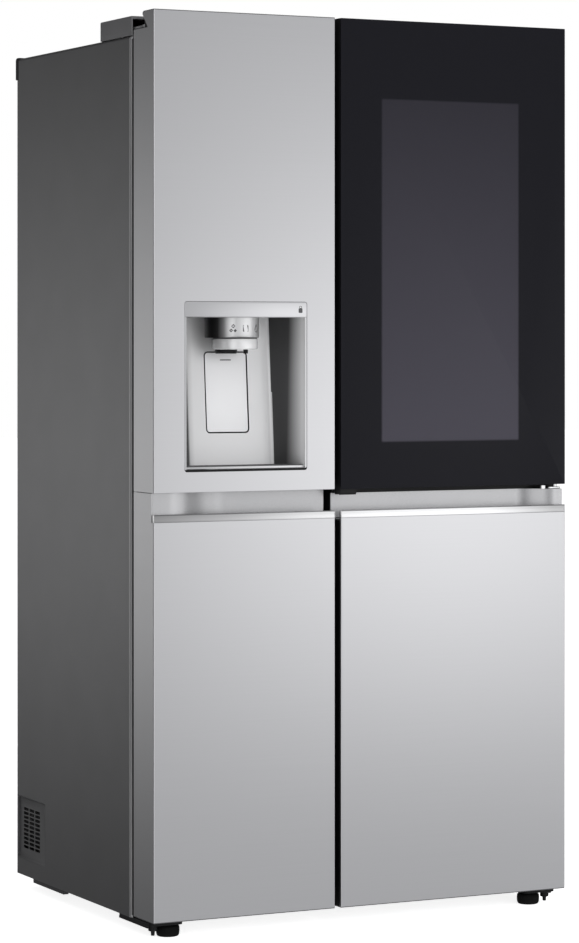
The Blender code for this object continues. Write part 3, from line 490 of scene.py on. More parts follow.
# bowl: painted shade in a dark band along the left of its back, a little darker at its right
CAVITY_PAINTED_SHADE = painted_light_metal("bowl_metal_painted_shade", (door_x(LEFT, 0.100), door_x(LEFT, 0.300)), 0.32, 0.50,
                      ((0.0, 0.03), (0.052, 0.05), (0.070, 0.44), (0.12, 0.56), (0.85, 0.60), (1.0, 0.50)))


def see_through(name, colour, roughness, clear, ior=1.49):
    """Clear plastic or glass, with fine scratches in its gloss."""
    material = principled(name, colour, roughness, IOR=ior, Transmission_Weight=clear)
    fine = stretched_noise(material, 40.0, (1, 1, 6), 5.0)
    drive(material, Roughness=remap(material, fine, roughness, roughness + 0.06))
    return material


CLEAR = see_through("clear_plastic", (0.90, 0.94, 0.97), 0.06, 0.92)
SHELF_GLASS = see_through("shelf_glass", (0.86, 0.95, 0.93), 0.03, 0.95, 1.52)


def window_glass(u_window, z_window):
    """Black printed glass; the see-through window in it is a little lighter, with soft edges."""
    black, seen_through = (0.006, 0.006, 0.008), (0.038, 0.036, 0.046)
    fade = 0.002                    # half the width of the window's soft edge
    material = principled("black_glass", black, 0.07, Specular_IOR_Level=0.10)
    place = object_axis(material)
    x = x_span(RIGHT, *u_window)
    # the window is darker towards its top
    shade = remap(material, place["Z"], 1.0, 0.35, *z_window)
    for axis, (low, high) in (("X", x), ("Z", z_window)):
        for edge, before, after in ((low, 0.0, 1.0), (high, 1.0, 0.0)):
            step = remap(material, place[axis], before, after, edge - fade, edge + fade)
            shade = maths(material, "MULTIPLY", shade, step)
    drive(material, Base_Color=ramp(material, shade, ((0.0, black), (1.0, seen_through))),
          Roughness=remap(material, stretched_noise(material, 3.0), 0.05, 0.09))
    return material


# ---------------------------------------------------------------- doors: skins, caps, lips, pockets
CORNER = 0.0024                     # radius of a skin's vertical corners
PANEL_Z0 = z_range("freezer_upper_skin")[0]
DOOR_Z0 = z_range("freezer_lower_skin")[0]
CAP = 0.0012                        # how much of a door's dark end cap shows
DISPENSER_CORNER = 0.0045
SKIN_BACK_V = v_range("freezer_lower_skin")[1]
SKIN_RETURN_V = 0.008               # depth of a skin's short return beside the gap
NOTCH_U = 0.050                     # notch for the top hinge
NOTCH_FRONT = (0.029, 0.054)        # v of its leaning front wall, bottom and top
NOTCH_Z = 1.757
OVER = 0.02                         # how far a cutter runs past what it cuts
BEHIND_V = 0.15                     # a depth behind every part of a door
# start of the bend, its steepest place, its end, and the depths before and after it
POCKETS = {
    LEFT: dict(start=0.035, steep=0.0895, end=0.172, shallow=0.010, deep=0.050),
    RIGHT: dict(start=0.014, steep=0.045, end=0.090, shallow=0.012, deep=0.050),
}
POCKET_WALL, POCKET_FILLET = 0.003, 0.004


def sheet_outline(width, inner, v_outer, v_gap, steps=10):
    """One face of a bent sheet: return, round corner, front, round corner, short return."""
    near = arc((CORNER, CORNER), CORNER - inner, 180, 270, steps)
    far = arc((width - CORNER, CORNER), CORNER - inner, 270, 360, steps)
    return [(inner, v_outer)] + near + far + [(width - inner, v_gap)]


def skin_piece(name, side, z):
    width = door_width(side)
    outside, inner = (sheet_outline(width, inset, SKIN_BACK_V, SKIN_RETURN_V) for inset in (0.0, SHEET))
    bm = door_prism(side, outside + inner[::-1], z)
    return mesh_object(name, soften(bm, 0.0005), STEEL)


def dispenser_opening():
    """What the dispenser takes out of the upper skin, with a thin joint round it."""
    joint = 0.0006
    u = u_range("dispenser_housing", LEFT)
    z = (z_range("dispenser_housing")[0], z_range("dispenser_control")[1])
    outline = rounded_box(x_span(LEFT, u[0] - joint, u[1] + joint), (z[0] - joint, z[1] + joint),
                          DISPENSER_CORNER + joint)
    return prism(outline, "Y", y_span((-OVER, BEHIND_V)))


def notch_cutter(side):
    """Room for the top hinge: its front wall leans forward, with a round top corner."""
    low_v, high_v = NOTCH_FRONT
    section = [(high_v - 0.006, TOP + OVER), (high_v - 0.006, TOP - 0.0002),
               (high_v - 0.0030, TOP - 0.0008), (high_v - 0.0008, TOP - 0.0028), (high_v, TOP - 0.0060),
               (low_v + 0.0035, NOTCH_Z + 0.0045), (low_v + 0.0010, NOTCH_Z + 0.0012),
               (low_v - 0.0015, NOTCH_Z), (BEHIND_V, NOTCH_Z), (BEHIND_V, TOP + OVER)]
    return side_prism(section, x_span(side, -OVER, NOTCH_U))


def pocket_open(side):
    """What the grip takes out of a skin's front."""
    z = (z_range("freezer_handle_lip")[0] - GAP, PANEL_Z0 + OVER)
    return door_block(side, (-OVER, door_width(side) + OVER), (-OVER, POCKETS[side]["shallow"]), z)


def settle_sheet(obj, body, slot, node_name):
    """Settle a piece whose large faces have to shade flat right up to their round edges."""
    obj.modifiers.new("flat_faces", "WEIGHTED_NORMAL").keep_sharp = True
    settle(obj, body, slot, node_name)


def settle_skin(obj, body, node_name):
    """Settle a door skin; its sides take a darker copy of the steel, painted shade."""
    obj.data.materials.append(STEEL_SIDE_PAINTED_SHADE)
    # faces turned along X are the sides and take the painted shade
    for face in obj.data.polygons:
        if abs(face.normal.x) > 0.95:
            face.material_index = 1
    settle_sheet(obj, body, "steel", node_name)


def door_skins():
    upper = skin_piece("freezer_upper_front", LEFT, (PANEL_Z0, TOP - CAP))
    cut(upper, dispenser_opening())
    cut(upper, notch_cutter(LEFT))
    settle_skin(upper, "freezer_door", "freezer_upper_skin")
    for word, side, top in (("freezer", LEFT, PANEL_Z0 - 0.0008),
                            ("fridge", RIGHT, z_range("fridge_lower_skin")[1])):
        lower = skin_piece(f"{word}_lower_front", side, (DOOR_Z0 + CAP, top))
        cut(lower, pocket_open(side))
        settle_skin(lower, f"{word}_door", f"{word}_lower_skin")


def end_cap(name, side, z, body, notched):
    """Moulded cap that closes a door's end and shows as a thin dark line."""
    width = door_width(side)
    outline = sheet_outline(width, 0.0002, SKIN_BACK_V, SKIN_BACK_V, 8)
    piece(name, soften(door_prism(side, outline, z), 0.0003, 2), DARK, body, "dark_grey",
          cuts=[notch_cutter(side)] if notched else [])


def end_caps():
    end_cap("freezer_door_top_cap", LEFT, (TOP - CAP + 0.0001, TOP + 0.0002), "freezer_door", True)
    for body, side in (("freezer_door", LEFT), ("fridge_door", RIGHT)):
        end_cap(f"{body}_bottom_cap", side, (DOOR_Z0 - 0.0002, DOOR_Z0 + CAP - 0.0001), body, False)


def lip(name, side, body, node_name):
    """Polished strip with a chamfered top; past a thin gap, a bright cap closes each end."""
    width = door_width(side)
    z0, z1 = z_range(node_name)
    depth = v_range(node_name)[1]
    end, slit, chamfer = 0.0016, 0.0002, 0.0022
    section = [(0.0004, z0), (depth, z0), (depth, z1 - 0.0012), (depth - 0.0012, z1), (chamfer, z1),
               (slit, z1 - chamfer)]
    # the front is very slightly hollow
    section += [(slit + 0.0003 * math.sin(math.pi * t / 6), z1 - chamfer - (z1 - z0 - 0.0034) * t / 6)
                for t in range(1, 7)]
    strip = side_prism(section, x_span(side, end, width - end))
    piece(name, soften(strip, 0.0002, 2, 25), LIP_PAINTED_REFLECTION, body, "aluminium", node_name, angle=20)
    for number, u in enumerate(((slit, end - slit), (width - end + slit, width - slit)), 1):
        cap = door_block(side, u, (0.0, depth), (z0 - 0.0001, z1))
        piece(f"{name}_end_{number}", soften(cap, 0.0004), POLISHED, body, "aluminium")


def recess_curve(side, grow):
    """Back of the grip seen from above: shallow, an S bend, then deep."""
    steps = 24
    shape = POCKETS[side]
    first, second = shape["steep"] - shape["start"], shape["end"] - shape["steep"]
    rise = shape["deep"] - shape["shallow"]
    first_rise = rise * first / (first + second)
    points = []
    for i in range(steps):
        t = i / steps
        depth = shape["shallow"] + first_rise * (1 - math.cos(math.pi / 2 * t))
        points.append((shape["start"] + first * t, depth + grow))
    for i in range(steps + 1):
        t = i / steps
        depth = shape["shallow"] + first_rise + (rise - first_rise) * math.sin(math.pi / 2 * t)
        points.append((shape["steep"] + second * t, depth + grow))
    return points


def pocket(name, side, body, node_name):
    """Grip recess: S-shaped back wall that rounds into its floor."""
    width = door_width(side)
    inset = SHEET + GAP
    z0, z1 = z_range(node_name)
    front = v_range(node_name)[0]

    def outline(grow, low, high, front_v):
        curve = recess_curve(side, grow)
        curve = [(low, curve[0][1])] + curve + [(high, curve[-1][1])]
        return [(low, front_v)] + curve + [(high, front_v)]

    shell = door_prism(side, outline(POCKET_WALL, inset, width - inset, front), (z0, z1))
    floor = z0 + POCKET_WALL
    rings = [(0.0, z1 + OVER)]
    rings += [(-POCKET_FILLET * b, floor + POCKET_FILLET * a) for a, b in quarter_turn()]
    hollow = loft([[(door_x(side, u), door_y(v), level)
                    for u, v in outline(grow, -OVER, width + OVER, -OVER)] for grow, level in rings])
    piece(name, shell, POCKET, body, "pocket_grey", node_name, cuts=[hollow])


def grips():
    sides = (("freezer", LEFT), ("fridge", RIGHT))
    for word, side in sides:
        lip(f"{word}_lip", side, f"{word}_door", f"{word}_handle_lip")
    for word, side in sides:
        pocket(f"{word}_grip", side, f"{word}_door", f"{word}_handle_pocket")


# ---------------------------------------------------------------- dispenser
CAVITY_BORDER = 0.0035
CAVITY_INSET = 0.035                # how far the side walls sweep in
CAVITY_FLOOR_V, CAVITY_TOP_V = 0.081, 0.105
CAVITY_Z = (z_range("dispenser_tray")[0] - GAP, z_range("dispenser_control")[0] - 2 * GAP)
BACK_FILLET = 0.015
STRIP_BACK_V = 0.0123               # what the housing leaves free for the control strip
LEVER_CORNER, LEVER_T, LEVER_CLEAR = 0.0070, 0.0040, 0.0018
WELL_V = 0.1065                     # bottom of the lever's well
ICON_ANGLES, ICON_Z = (-22.0, 6.0, 38.0), 1.1775
STRIP_ICON_U = 0.3130
PRINT = (-0.0001, 0.0002)           # how far a print stands out and how deep it reaches
HEAD_V, HEAD_Z0 = 0.068, 1.1590     # axis and lower edge of the spout's head
RING_V, RING_R = 0.053, 0.0447      # axis and radius of the bright ring
HEAD_BACK_V = 0.099                 # head and ring are cut flat here
CHUTE_U, CHUTE_V = -0.0135, 0.066   # ice chute and water nozzle, u from the head's middle
NOZZLE_U, NOZZLE_V = 0.0215, 0.050


def wall_arc(depth):
    """Turn and radius of the arc that a side wall of the bowl follows."""
    turn = 2 * math.atan(CAVITY_INSET / depth)
    return turn, depth / math.sin(turn)


def wall_offset(v, depth):
    """How far a side wall of the bowl has swept in at a depth v."""
    radius = wall_arc(depth)[1]
    return radius - math.sqrt(radius ** 2 - v ** 2)


def cavity_depth(z):
    z0, z1 = CAVITY_Z
    return CAVITY_FLOOR_V + (CAVITY_TOP_V - CAVITY_FLOOR_V) * (z - z0) / (z1 - z0)


def cavity_u(inset):
    """The u range of the dispenser's housing, drawn in from both sides."""
    u0, u1 = u_range("dispenser_housing", LEFT)
    return u0 + inset, u1 - inset


def cavity_ring(z):
    """Bowl at one height: side walls on long arcs, a small fillet, a flat back."""
    depth = cavity_depth(z)
    u0, u1 = cavity_u(CAVITY_BORDER)
    turn, radius = wall_arc(depth)
    side = []
    for i in range(17):
        angle = turn * i / 16
        side.append((radius * (1 - math.cos(angle)), radius * math.sin(angle)))
    corner = side[-1]
    # the fillet replaces the sharp corner between the arc's end and the back
    run = BACK_FILLET * math.tan((math.pi / 2 - turn) / 2)
    start = (corner[0] - math.sin(turn) * run, corner[1] - math.cos(turn) * run)
    side = [point for point in side if point[1] < start[1] - 0.0005] + [start]
    centre = (corner[0] + run, corner[1] - BACK_FILLET)
    for i in range(1, 7):
        angle = math.pi - turn + (math.pi / 2 - (math.pi - turn)) * i / 6
        side.append((centre[0] + BACK_FILLET * math.cos(angle),
                     centre[1] + BACK_FILLET * math.sin(angle)))
    near = [(u0, -OVER)] + [(u0 + a, b) for a, b in side]
    far = [(u1 - a, b) for a, b in side[::-1]] + [(u1, -OVER)]
    return [(door_x(LEFT, u), door_y(v), z) for u, v in near + far]


def lever_shape(grow, front, back):
    """The push lever's outline, grown; front and back are functions of height that give v."""
    (u0, u1), _, (z0, z1) = door_ranges("dispenser_paddle", LEFT)
    outline = rounded_box(x_span(LEFT, u0 - grow, u1 + grow), (z0 - grow, z1 + grow),
                          LEVER_CORNER + grow, 8)
    return loft([[(a, door_y(level(b)), b) for a, b in outline] for level in (front, back)])


def dispenser_housing():
    """One moulding: steel-like border, side walls with painted light, bright back with painted shade at its
    left, black painted shade in the lever's well and under the floor.
    """
    u, (_, back), (z0, _) = door_ranges("dispenser_housing", LEFT)
    strip_z, z1 = z_range("dispenser_control")
    floor, top = CAVITY_Z
    shell = prism(rounded_box(x_span(LEFT, *u), (z0, z1), DISPENSER_CORNER), "Y", y_span((GAP, back)))
    housing = mesh_object("dispenser_bowl", soften(shell, 0.0006), CAVITY_PAINTED_SHADE)
    cut(housing, loft([cavity_ring(floor + (top - floor) * i / 8) for i in range(9)]))
    cut(housing, door_block(LEFT, (u[0] - OVER, u[1] + OVER), (-OVER, STRIP_BACK_V),
                            (strip_z - GAP, z1 + OVER)))
    cut(housing, lever_shape(LEVER_CLEAR, lambda z: 0.05, lambda z: WELL_V))
    # black is painted shade: in the lever's well, and on the border's front under the bowl's floor
    border, wall, painted_shade = 1, 2, 3
    for finish in (STEEL, BOWL_WALL_PAINTED_LIGHT, BLACK):
        housing.data.materials.append(finish)
    for face in housing.data.polygons:
        v = face.center.y - Y_FRONT
        if v < 0.0012:
            face.material_index = painted_shade if face.center.z < floor else border
        elif v > cavity_depth(face.center.z) + 0.0002:
            face.material_index = painted_shade
        # the side walls take the finish with painted reflection and shade
        elif face.normal.x < -0.7 or face.normal.x > 0.1:
            face.material_index = wall
    settle(housing, "freezer_door", "dispenser_grey", "dispenser_housing")


def control_strip():
    """Band over the bowl with one touch symbol near its right end."""
    u, v, (z0, z1) = door_ranges("dispenser_control", LEFT)
    x0, x1 = x_span(LEFT, *u)
    r = DISPENSER_CORNER
    outline = [(x0, z0), (x1, z0)] + arc((x1 - r, z1 - r), r, 0, 90) + arc((x0 + r, z1 - r), r, 90, 180)
    strip = soften(prism(outline, "Y", y_span((0.0, v[1]))), 0.0005)
    piece("dispenser_strip", strip, STEEL, "freezer_door", "dispenser_grey", "dispenser_control")
    x, z = door_x(LEFT, STRIP_ICON_U), middle((z0, z1))
    y0, y1 = y_span(PRINT)
    symbol = prism(rounded_box((x - 0.0042, x + 0.0042), (z - 0.0065, z + 0.0025), 0.0016), "Y", (y0, y1))
    frame_moulding((x - 0.0030, x + 0.0030), (z + 0.0022, z + 0.0072), 0.0025,
                   [(0.0, y0), (0.0009, y0), (0.0009, y1), (0.0, y1)], "Y", symbol)
    piece("strip_symbol", symbol, ICON, "freezer_door", "dispenser_grey")


def wrapped_print(bm, outline, centre, radius, angle):
    """Thin raised print on an upright cylinder; outline is (sideways, up), angle in degrees from -Y."""
    rings = []
    for r in (radius - 0.0003, radius + 0.0001):
        ring = []
        for a, b in outline:
            turn = math.radians(angle) + a / radius
            ring.append((centre[0] + r * math.sin(turn), centre[1] - r * math.cos(turn), ICON_Z + b))
        rings.append(ring)
    loft(rings, bm)


def head_icons(centre, radius):
    """Crushed ice, ice cube, water drop."""
    icons = bmesh.new()
    crushed = [[(a - size, b), (a, b - size), (a + size, b + 0.0004), (a + 0.0003, b + size)]
               for a, b, size in ((-0.0038, -0.0042, 0.0038), (0.0040, -0.0046, 0.0034),
                                  (0.0004, 0.0042, 0.0042))]
    cube = rounded_box((-0.0062, 0.0062), (-0.0066, 0.0062), 0.0018, 3)
    drop = arc((0.0, -0.0025), 0.0056, 150, 390, 12) + [(0.0, 0.0092)]
    for angle, outlines in zip(ICON_ANGLES, (crushed, [cube], [drop])):
        for outline in outlines:
            wrapped_print(icons, outline, centre, radius, angle)
    piece("head_icons", icons, ICON, "freezer_door", "dispenser_grey")


def spout():
    """Round head, bright ring and dark outlets, all cut flat where they meet the bowl's back."""
    u0, u1 = u_range("dispenser_head", LEFT)
    u, radius = middle((u0, u1)), (u1 - u0) / 2
    top = z_range("dispenser_head")[1]

    def behind():
        return door_block(LEFT, (0, 0.4), (HEAD_BACK_V, 0.2), (1.0, 1.3))

    profile = [(radius - 0.006, 1.1600), (radius - 0.006, HEAD_Z0), (radius - 0.0008, HEAD_Z0),
               (radius - 0.0003, 1.1592), (radius, 1.1600), (radius, top)]
    piece("spout_head", door_lathe(LEFT, u, HEAD_V, profile, 128), HEAD_PAINTED_REFLECTION, "freezer_door",
          "dispenser_grey", "dispenser_head", cuts=[behind()])
    head_icons((door_x(LEFT, u), door_y(HEAD_V)), radius)
    # dark joint between head and ring
    profile = [(0.030, 1.1593), (0.030, 1.1575), (0.0438, 1.1575), (0.0438, 1.1593)]
    joint = door_lathe(LEFT, u, RING_V, profile, 96)
    piece("spout_joint", joint, BLACK, "freezer_door", "black_plastic")
    profile = [(0.012, 1.1573), (0.012, 1.1375), (0.0050, 1.1362), (0.0016, 1.1366), (0.0004, 1.1376),
               (0.0, 1.1392), (0.0, 1.1560), (0.0006, 1.1568), (0.002, 1.1573)]
    ring = door_lathe(LEFT, u, RING_V, [(RING_R - inset, z) for inset, z in profile], 128)
    piece("spout_ring", ring, RING_PAINTED_REFLECTION, "freezer_door", "dispenser_grey", angle=50, cuts=[behind()])
    profile = [(0.012, 1.1400), (0.012, 1.1290), (0.0200, 1.1282), (0.0208, 1.1290), (0.0230, 1.1400)]
    outlets = door_lathe(LEFT, u + CHUTE_U, CHUTE_V, profile, 64)
    profile = [(0.0030, 1.1400), (0.0030, 1.1284), (0.0042, 1.1282), (0.0046, 1.1290), (0.0046, 1.1400)]
    door_lathe(LEFT, u + NOZZLE_U, NOZZLE_V, profile, 32, outlets)
    piece("spout_outlets", outlets, BLACK, "freezer_door", "black_plastic")


def lever():
    """Push lever: a slab with round corners, flush with the bowl's sloping back, and its printed dash."""
    slab = lever_shape(-0.0007, lambda z: cavity_depth(z) + GAP, lambda z: cavity_depth(z) + GAP + LEVER_T)
    paddle = mesh_object("push_lever", soften(slab, 0.0009), LEVER)
    # the lever's sides are black: painted shade in the gap round it
    paddle.data.materials.append(BLACK)
    for face in paddle.data.polygons:
        if abs(face.normal.y) < 0.5:
            face.material_index = 1
    settle(paddle, "paddle", "dispenser_grey", "dispenser_paddle")
    x = door_x(LEFT, middle(u_range("dispenser_paddle", LEFT)))
    z = z_range("dispenser_paddle")[1] - 0.0150
    dash = rounded_box((x - 0.012, x + 0.012), (z - 0.0011, z + 0.0011), 0.0010, 4)
    rings = [[(a, door_y(cavity_depth(b) + GAP + level), b) for a, b in dash] for level in PRINT]
    piece("lever_dash", loft(rings), ICON, "paddle", "dispenser_grey")


def tray():
    """Drip tray that follows the bowl's walls: a bright front bar and a slotted dark grid."""
    _, (v0, v1), (z0, z1) = door_ranges("dispenser_tray", LEFT)
    u0, u1 = cavity_u(CAVITY_BORDER + GAP)

    def tray_slice(front, back, top):
        depths = [front + (back - front) * i / 8 for i in range(9)]
        side = [(wall_offset(v, CAVITY_FLOOR_V), v) for v in depths]
        outline = [(u0 + a, v) for a, v in side] + [(u1 - a, v) for a, v in side[::-1]]
        return door_prism(LEFT, outline, (z0, top))

    bar = soften(tray_slice(v0, v0 + 0.004, z1 - 0.0012), 0.0005)
    piece("tray_bar", bar, SATIN, "freezer_door", "dark_grey")
    inset = wall_offset(v1, CAVITY_FLOOR_V)
    x = x_span(LEFT, u0 + inset, u1 - inset)
    x = (x[0] + 0.006, x[1] - 0.006)
    count = 18
    pitch = (x[1] - x[0]) / count
    y = (door_y(v0) + 0.009, door_y(v1) - 0.005)
    slots = bmesh.new()
    for i in range(count):
        start = x[0] + pitch * (i + 0.2)
        outline = rounded_box((start, start + pitch * 0.6), y, pitch * 0.25, 3)
        prism(outline, "Z", (z0 + 0.002, z1 + 0.01), slots)
    grid = soften(tray_slice(v0 + 0.0043, v1, z1), 0.0006, 2)
    piece("drip_tray", grid, DARK, "freezer_door", "dark_grey", "dispenser_tray", cuts=[slots])


def dispenser():
    dispenser_housing()
    control_strip()
    spout()
    lever()
    tray()


# ---------------------------------------------------------------- glass door
WINDOW_U, WINDOW_Z = (0.1095, 0.4205), (0.953, 1.633)
BEZEL = 0.008                       # how far the bezel stands round the window
SEAL_U, SEAL_Z = (0.030, 0.4925), (0.884, 1.706)
FRAME_BACK_V = 0.0421               # back of the glass door's frame


def glass_door():
    """Printed glass on a black frame, with the sealing strip and the window's bezel behind it."""
    outline = rounded_box(x_span(RIGHT, 0.0, door_width(RIGHT)), z_range("glass_panel"), 0.0015, 4)
    glass = soften(prism(outline, "Y", y_span((0.0, v_range("glass_panel")[1]))), 0.0006)
    piece("door_glass", glass, window_glass(WINDOW_U, WINDOW_Z), "glass_door", "black_glass", "glass_panel")
    ease_nodes(0.0010, "glass_door_frame")
    section = [(0.0, FRAME_BACK_V), (0.011, FRAME_BACK_V), (0.009, 0.0436), (0.0105, 0.0450),
               (0.008, 0.0457), (0.003, 0.0457), (0.0005, 0.0450), (0.002, 0.0436)]
    seal = door_moulding(RIGHT, SEAL_U, SEAL_Z, 0.010, section)
    piece("glass_door_seal", seal, GASKET, "glass_door", "gasket", angle=50)
    section = [(0.0, FRAME_BACK_V), (0.0, 0.0433), (0.002, 0.0438), (0.0075, 0.0438),
               (0.0075, FRAME_BACK_V)]
    u, z = ((low - BEZEL, high + BEZEL) for low, high in (WINDOW_U, WINDOW_Z))
    bezel = door_moulding(RIGHT, u, z, 0.006, section)
    piece("window_bezel", bezel, DARK, "glass_door", "frame_black")


def latch():
    """Lever under the glass door's free corner, with a hollow for the finger."""
    u, (v0, v1), (z0, z1) = door_ranges("did_latch", RIGHT)
    section = [(v0, z1), (v0, z0 + 0.003), (v0 + 0.003, z0)]
    section += [(v0 + 0.006 + (v1 - v0 - 0.008) * t / 8, z0 + 0.0045 * math.sin(math.pi * t / 8))
                for t in range(9)]
    section += [(v1, z0 + 0.001), (v1, z1)]
    bar = soften(side_prism(section, x_span(RIGHT, *u)), 0.0006)
    piece("latch_lever", bar, BLACK, "latch", "black_plastic", "did_latch")


# ---------------------------------------------------------------- cabinet
SIDES = (("left", LEFT), ("right", RIGHT))
FLANGE = 0.008                      # front edge of the case, lighter by a painted highlight
CASE_CORNER, CASE_SHEET, CASE_ROLL = 0.006, 0.002, 0.005
VENT_Y0, VENT_Z = 0.1971, (0.0648, 0.196)
VENT_DEPTH, VENT_SHEET = 0.0040, 0.0016
VENT_SLOT = (0.0276, 0.0061)
VENT_COLUMNS, VENT_ROWS = (3, 0.2370, 0.0322), (10, 0.0875, 0.0088)     # count, first edge, pitch
PIN_U, PIN_V = 0.020, 0.0774        # axis of a main hinge
BRACKET_U, BRACKET_V, BRACKET_Z = (0.006, 0.076), (0.030, 0.190), (0.0243, 0.0300)
STUD_U, STUD_V = 0.0545, 0.057      # axis of a foot's stud
PEG_V = 0.050                       # the peg stands in front of the hinge pin


def vent_panel(word, side):
    """Pressed recess low on the cabinet's side, up to its back edge, with three columns of slots."""
    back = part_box("outer_case")[1].y
    y0 = VENT_Y0 + 0.0002
    z = (VENT_Z[0] + 0.0002, VENT_Z[1] - 0.0002)
    plate = block(x_span(side, 0.0, VENT_DEPTH + VENT_SHEET), (y0, back), z)
    panel = mesh_object(f"side_vent_{word}", plate, CASE)
    rings = []
    for grow in (0.004, -VENT_DEPTH):
        x, edge = side * (HALF_W + grow), 0.0008 - grow
        rings.append([(x, y0 + edge, z[0] + edge), (x, back + OVER, z[0] + edge),
                      (x, back + OVER, z[1] - edge), (x, y0 + edge, z[1] - edge)])
    cut(panel, loft(rings))
    soften_object(panel, 0.0006)
    slots = bmesh.new()
    columns, rows = ([start + pitch * i for i in range(count)]
                     for count, start, pitch in (VENT_COLUMNS, VENT_ROWS))
    for y in columns:
        for base in rows:
            outline = rounded_box((y, y + VENT_SLOT[0]), (base, base + VENT_SLOT[1]), 0.0024, 4)
            prism(outline, "X", x_span(side, -0.01, 0.02), slots)
    cut(panel, slots)
    settle(panel, "cabinet", "case_grey")


def rear_corner(side):
    """What the cap over a top rear corner takes out of the case."""
    low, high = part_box("rear_cap_left")
    return block(x_span(side, -OVER, high.x - low.x + GAP), (low.y - GAP, high.y + OVER),
                 (low.z - GAP, TOP + OVER))


def outer_case():
    """Wrap of painted sheet: rolled front edge, round top corners, openings for caps and vents."""
    low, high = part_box("outer_case")
    half = high.x

    def outline(inset):
        centre = (half - CASE_CORNER, high.z - CASE_CORNER)
        radius = CASE_CORNER - inset
        return ([(-half + inset, low.z)] + arc((-centre[0], centre[1]), radius, 180, 90)
                + arc(centre, radius, 90, 0) + [(half - inset, low.z)])

    # the front edge rolls in over the flange
    outer = [(CASE_ROLL * a, low.y + CASE_ROLL * b) for a, b in quarter_turn()]
    outer += [(0.0, low.y + FLANGE), (0.0, low.y + FLANGE + 0.0004), (0.0, high.y)]
    inner = [(CASE_SHEET, high.y), (CASE_SHEET, low.y + 0.0035), (CASE_ROLL + 0.0001, low.y)]
    bm = bmesh.new()
    rows = stitch(bm, [[(a, y, b) for a, b in outline(inset)] for inset, y in outer + inner],
                  closed_rows=True, closed_points=False)
    for end in (0, -1):
        bm.faces.new([row[end] for row in rows])
    case = mesh_object("case_wrap", bm, CASE)
    for side in (LEFT, RIGHT):
        cut(case, rear_corner(side))
        cut(case, block(x_span(side, -OVER, 0.01), (VENT_Y0, high.y + OVER), VENT_Z))
    # painted highlight: the front edge takes the lighter copy of the case paint
    case.data.materials.append(FLANGE_PAINTED_HIGHLIGHT)
    for face in case.data.polygons:
        if low.y + 0.0001 < face.center.y < low.y + FLANGE + 0.0001:
            face.material_index = 1
    settle_sheet(case, "cabinet", "case_grey", "outer_case")


def rear_cap(word):
    """Moulded cap over a top rear corner, rounded at its top."""
    low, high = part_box(f"rear_cap_{word}")
    r = 0.007
    section = [(low.y, low.z), (high.y, low.z)] + arc((high.y - r, high.z - r), r, 0, 90, 6)
    cap = prism(section + [(low.y, high.z)], "X", (low.x, high.x))
    piece(f"case_cap_{word}", soften(cap, 0.0016), BLACK, "cabinet", "black_plastic",
          f"rear_cap_{word}")


def hinge_cover(word, side):
    """Softened shell, open below and at the front where the hinge arm comes out."""
    node_name = f"hinge_cover_{word}"
    u, (v0, v1), (z0, z1) = door_ranges(node_name, side)
    x, y, wall = x_span(side, *u), y_span((v0, v1)), 0.0025
    shell = prism(rounded_box(x, y, 0.006, 5), "Z", (z0, z1))
    bmesh.ops.recalc_face_normals(shell, faces=shell.faces)
    top = [edge for edge in shell.edges if all(vert.co.z > z1 - 0.001 for vert in edge.verts)]
    bmesh.ops.bevel(shell, geom=top, offset=0.003, offset_type="OFFSET", segments=4, profile=0.5,
                    affect="EDGES", clamp_overlap=True)
    inner = rounded_box((x[0] + wall, x[1] - wall), (y[0] + wall, y[1] - wall), 0.004)
    cuts = [prism(inner, "Z", (z0 - OVER, z1 - wall)),
            door_block(side, (0.004, 0.046), (v0 - OVER, v0 + 0.01), (z0 - OVER, z1 - 0.006))]
    piece(f"hinge_hood_{word}", shell, COVER, "cabinet", "grey_plastic", node_name, cuts=cuts)


def hinge_bush(word, side):
    """Bright bush round the top hinge pin, in the door's notch."""
    profile = [(0.0053, 1.7640), (0.0053, 1.7660), (0.0090, 1.7660), (0.0098, 1.7652), (0.0098, 1.7642)]
    bush = door_lathe(side, PIN_U, PIN_V, profile, 48)
    piece(f"hinge_washer_{word}", bush, POLISHED, "cabinet", "zinc")


def foot(word):
    """Levelling foot: a thick rubber pad with a bulging rim, on a threaded steel stud."""
    node_name, body = f"foot_{word}", f"{word}_foot"
    low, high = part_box(node_name)
    centre = (middle((low.x, high.x)), middle((low.y, high.y)), 0)
    r = (high.x - low.x) / 2
    rim = [(-0.0035, 0.0), (-0.0012, 0.0008), (0.0002, 0.0028), (0.0010, 0.0060), (0.0014, 0.0100),
           (0.0014, 0.0150), (0.0008, 0.0190), (-0.0010, 0.0212), (-0.0040, 0.0222)]
    pad = [(0.004, 0.0)] + [(r + a, z) for a, z in rim] + [(0.010, 0.0225), (0.009, 0.0230), (0.004, 0.0232)]
    piece(f"levelling_{node_name}", lathe(pad, centre, 96), RUBBER, body, "rubber", node_name,
          angle=50)
    stud = [(0.0035, 0.0231), (0.0050, 0.0232)]
    for i in range(5):
        stud += [(0.0050, 0.0236 + 0.0012 * i), (0.0044, 0.0242 + 0.0012 * i)]
    stud += [(0.0050, 0.0296), (0.0035, 0.0298)]
    piece(f"stud_{word}", lathe(stud, centre, 40), ZINC, body, "zinc")


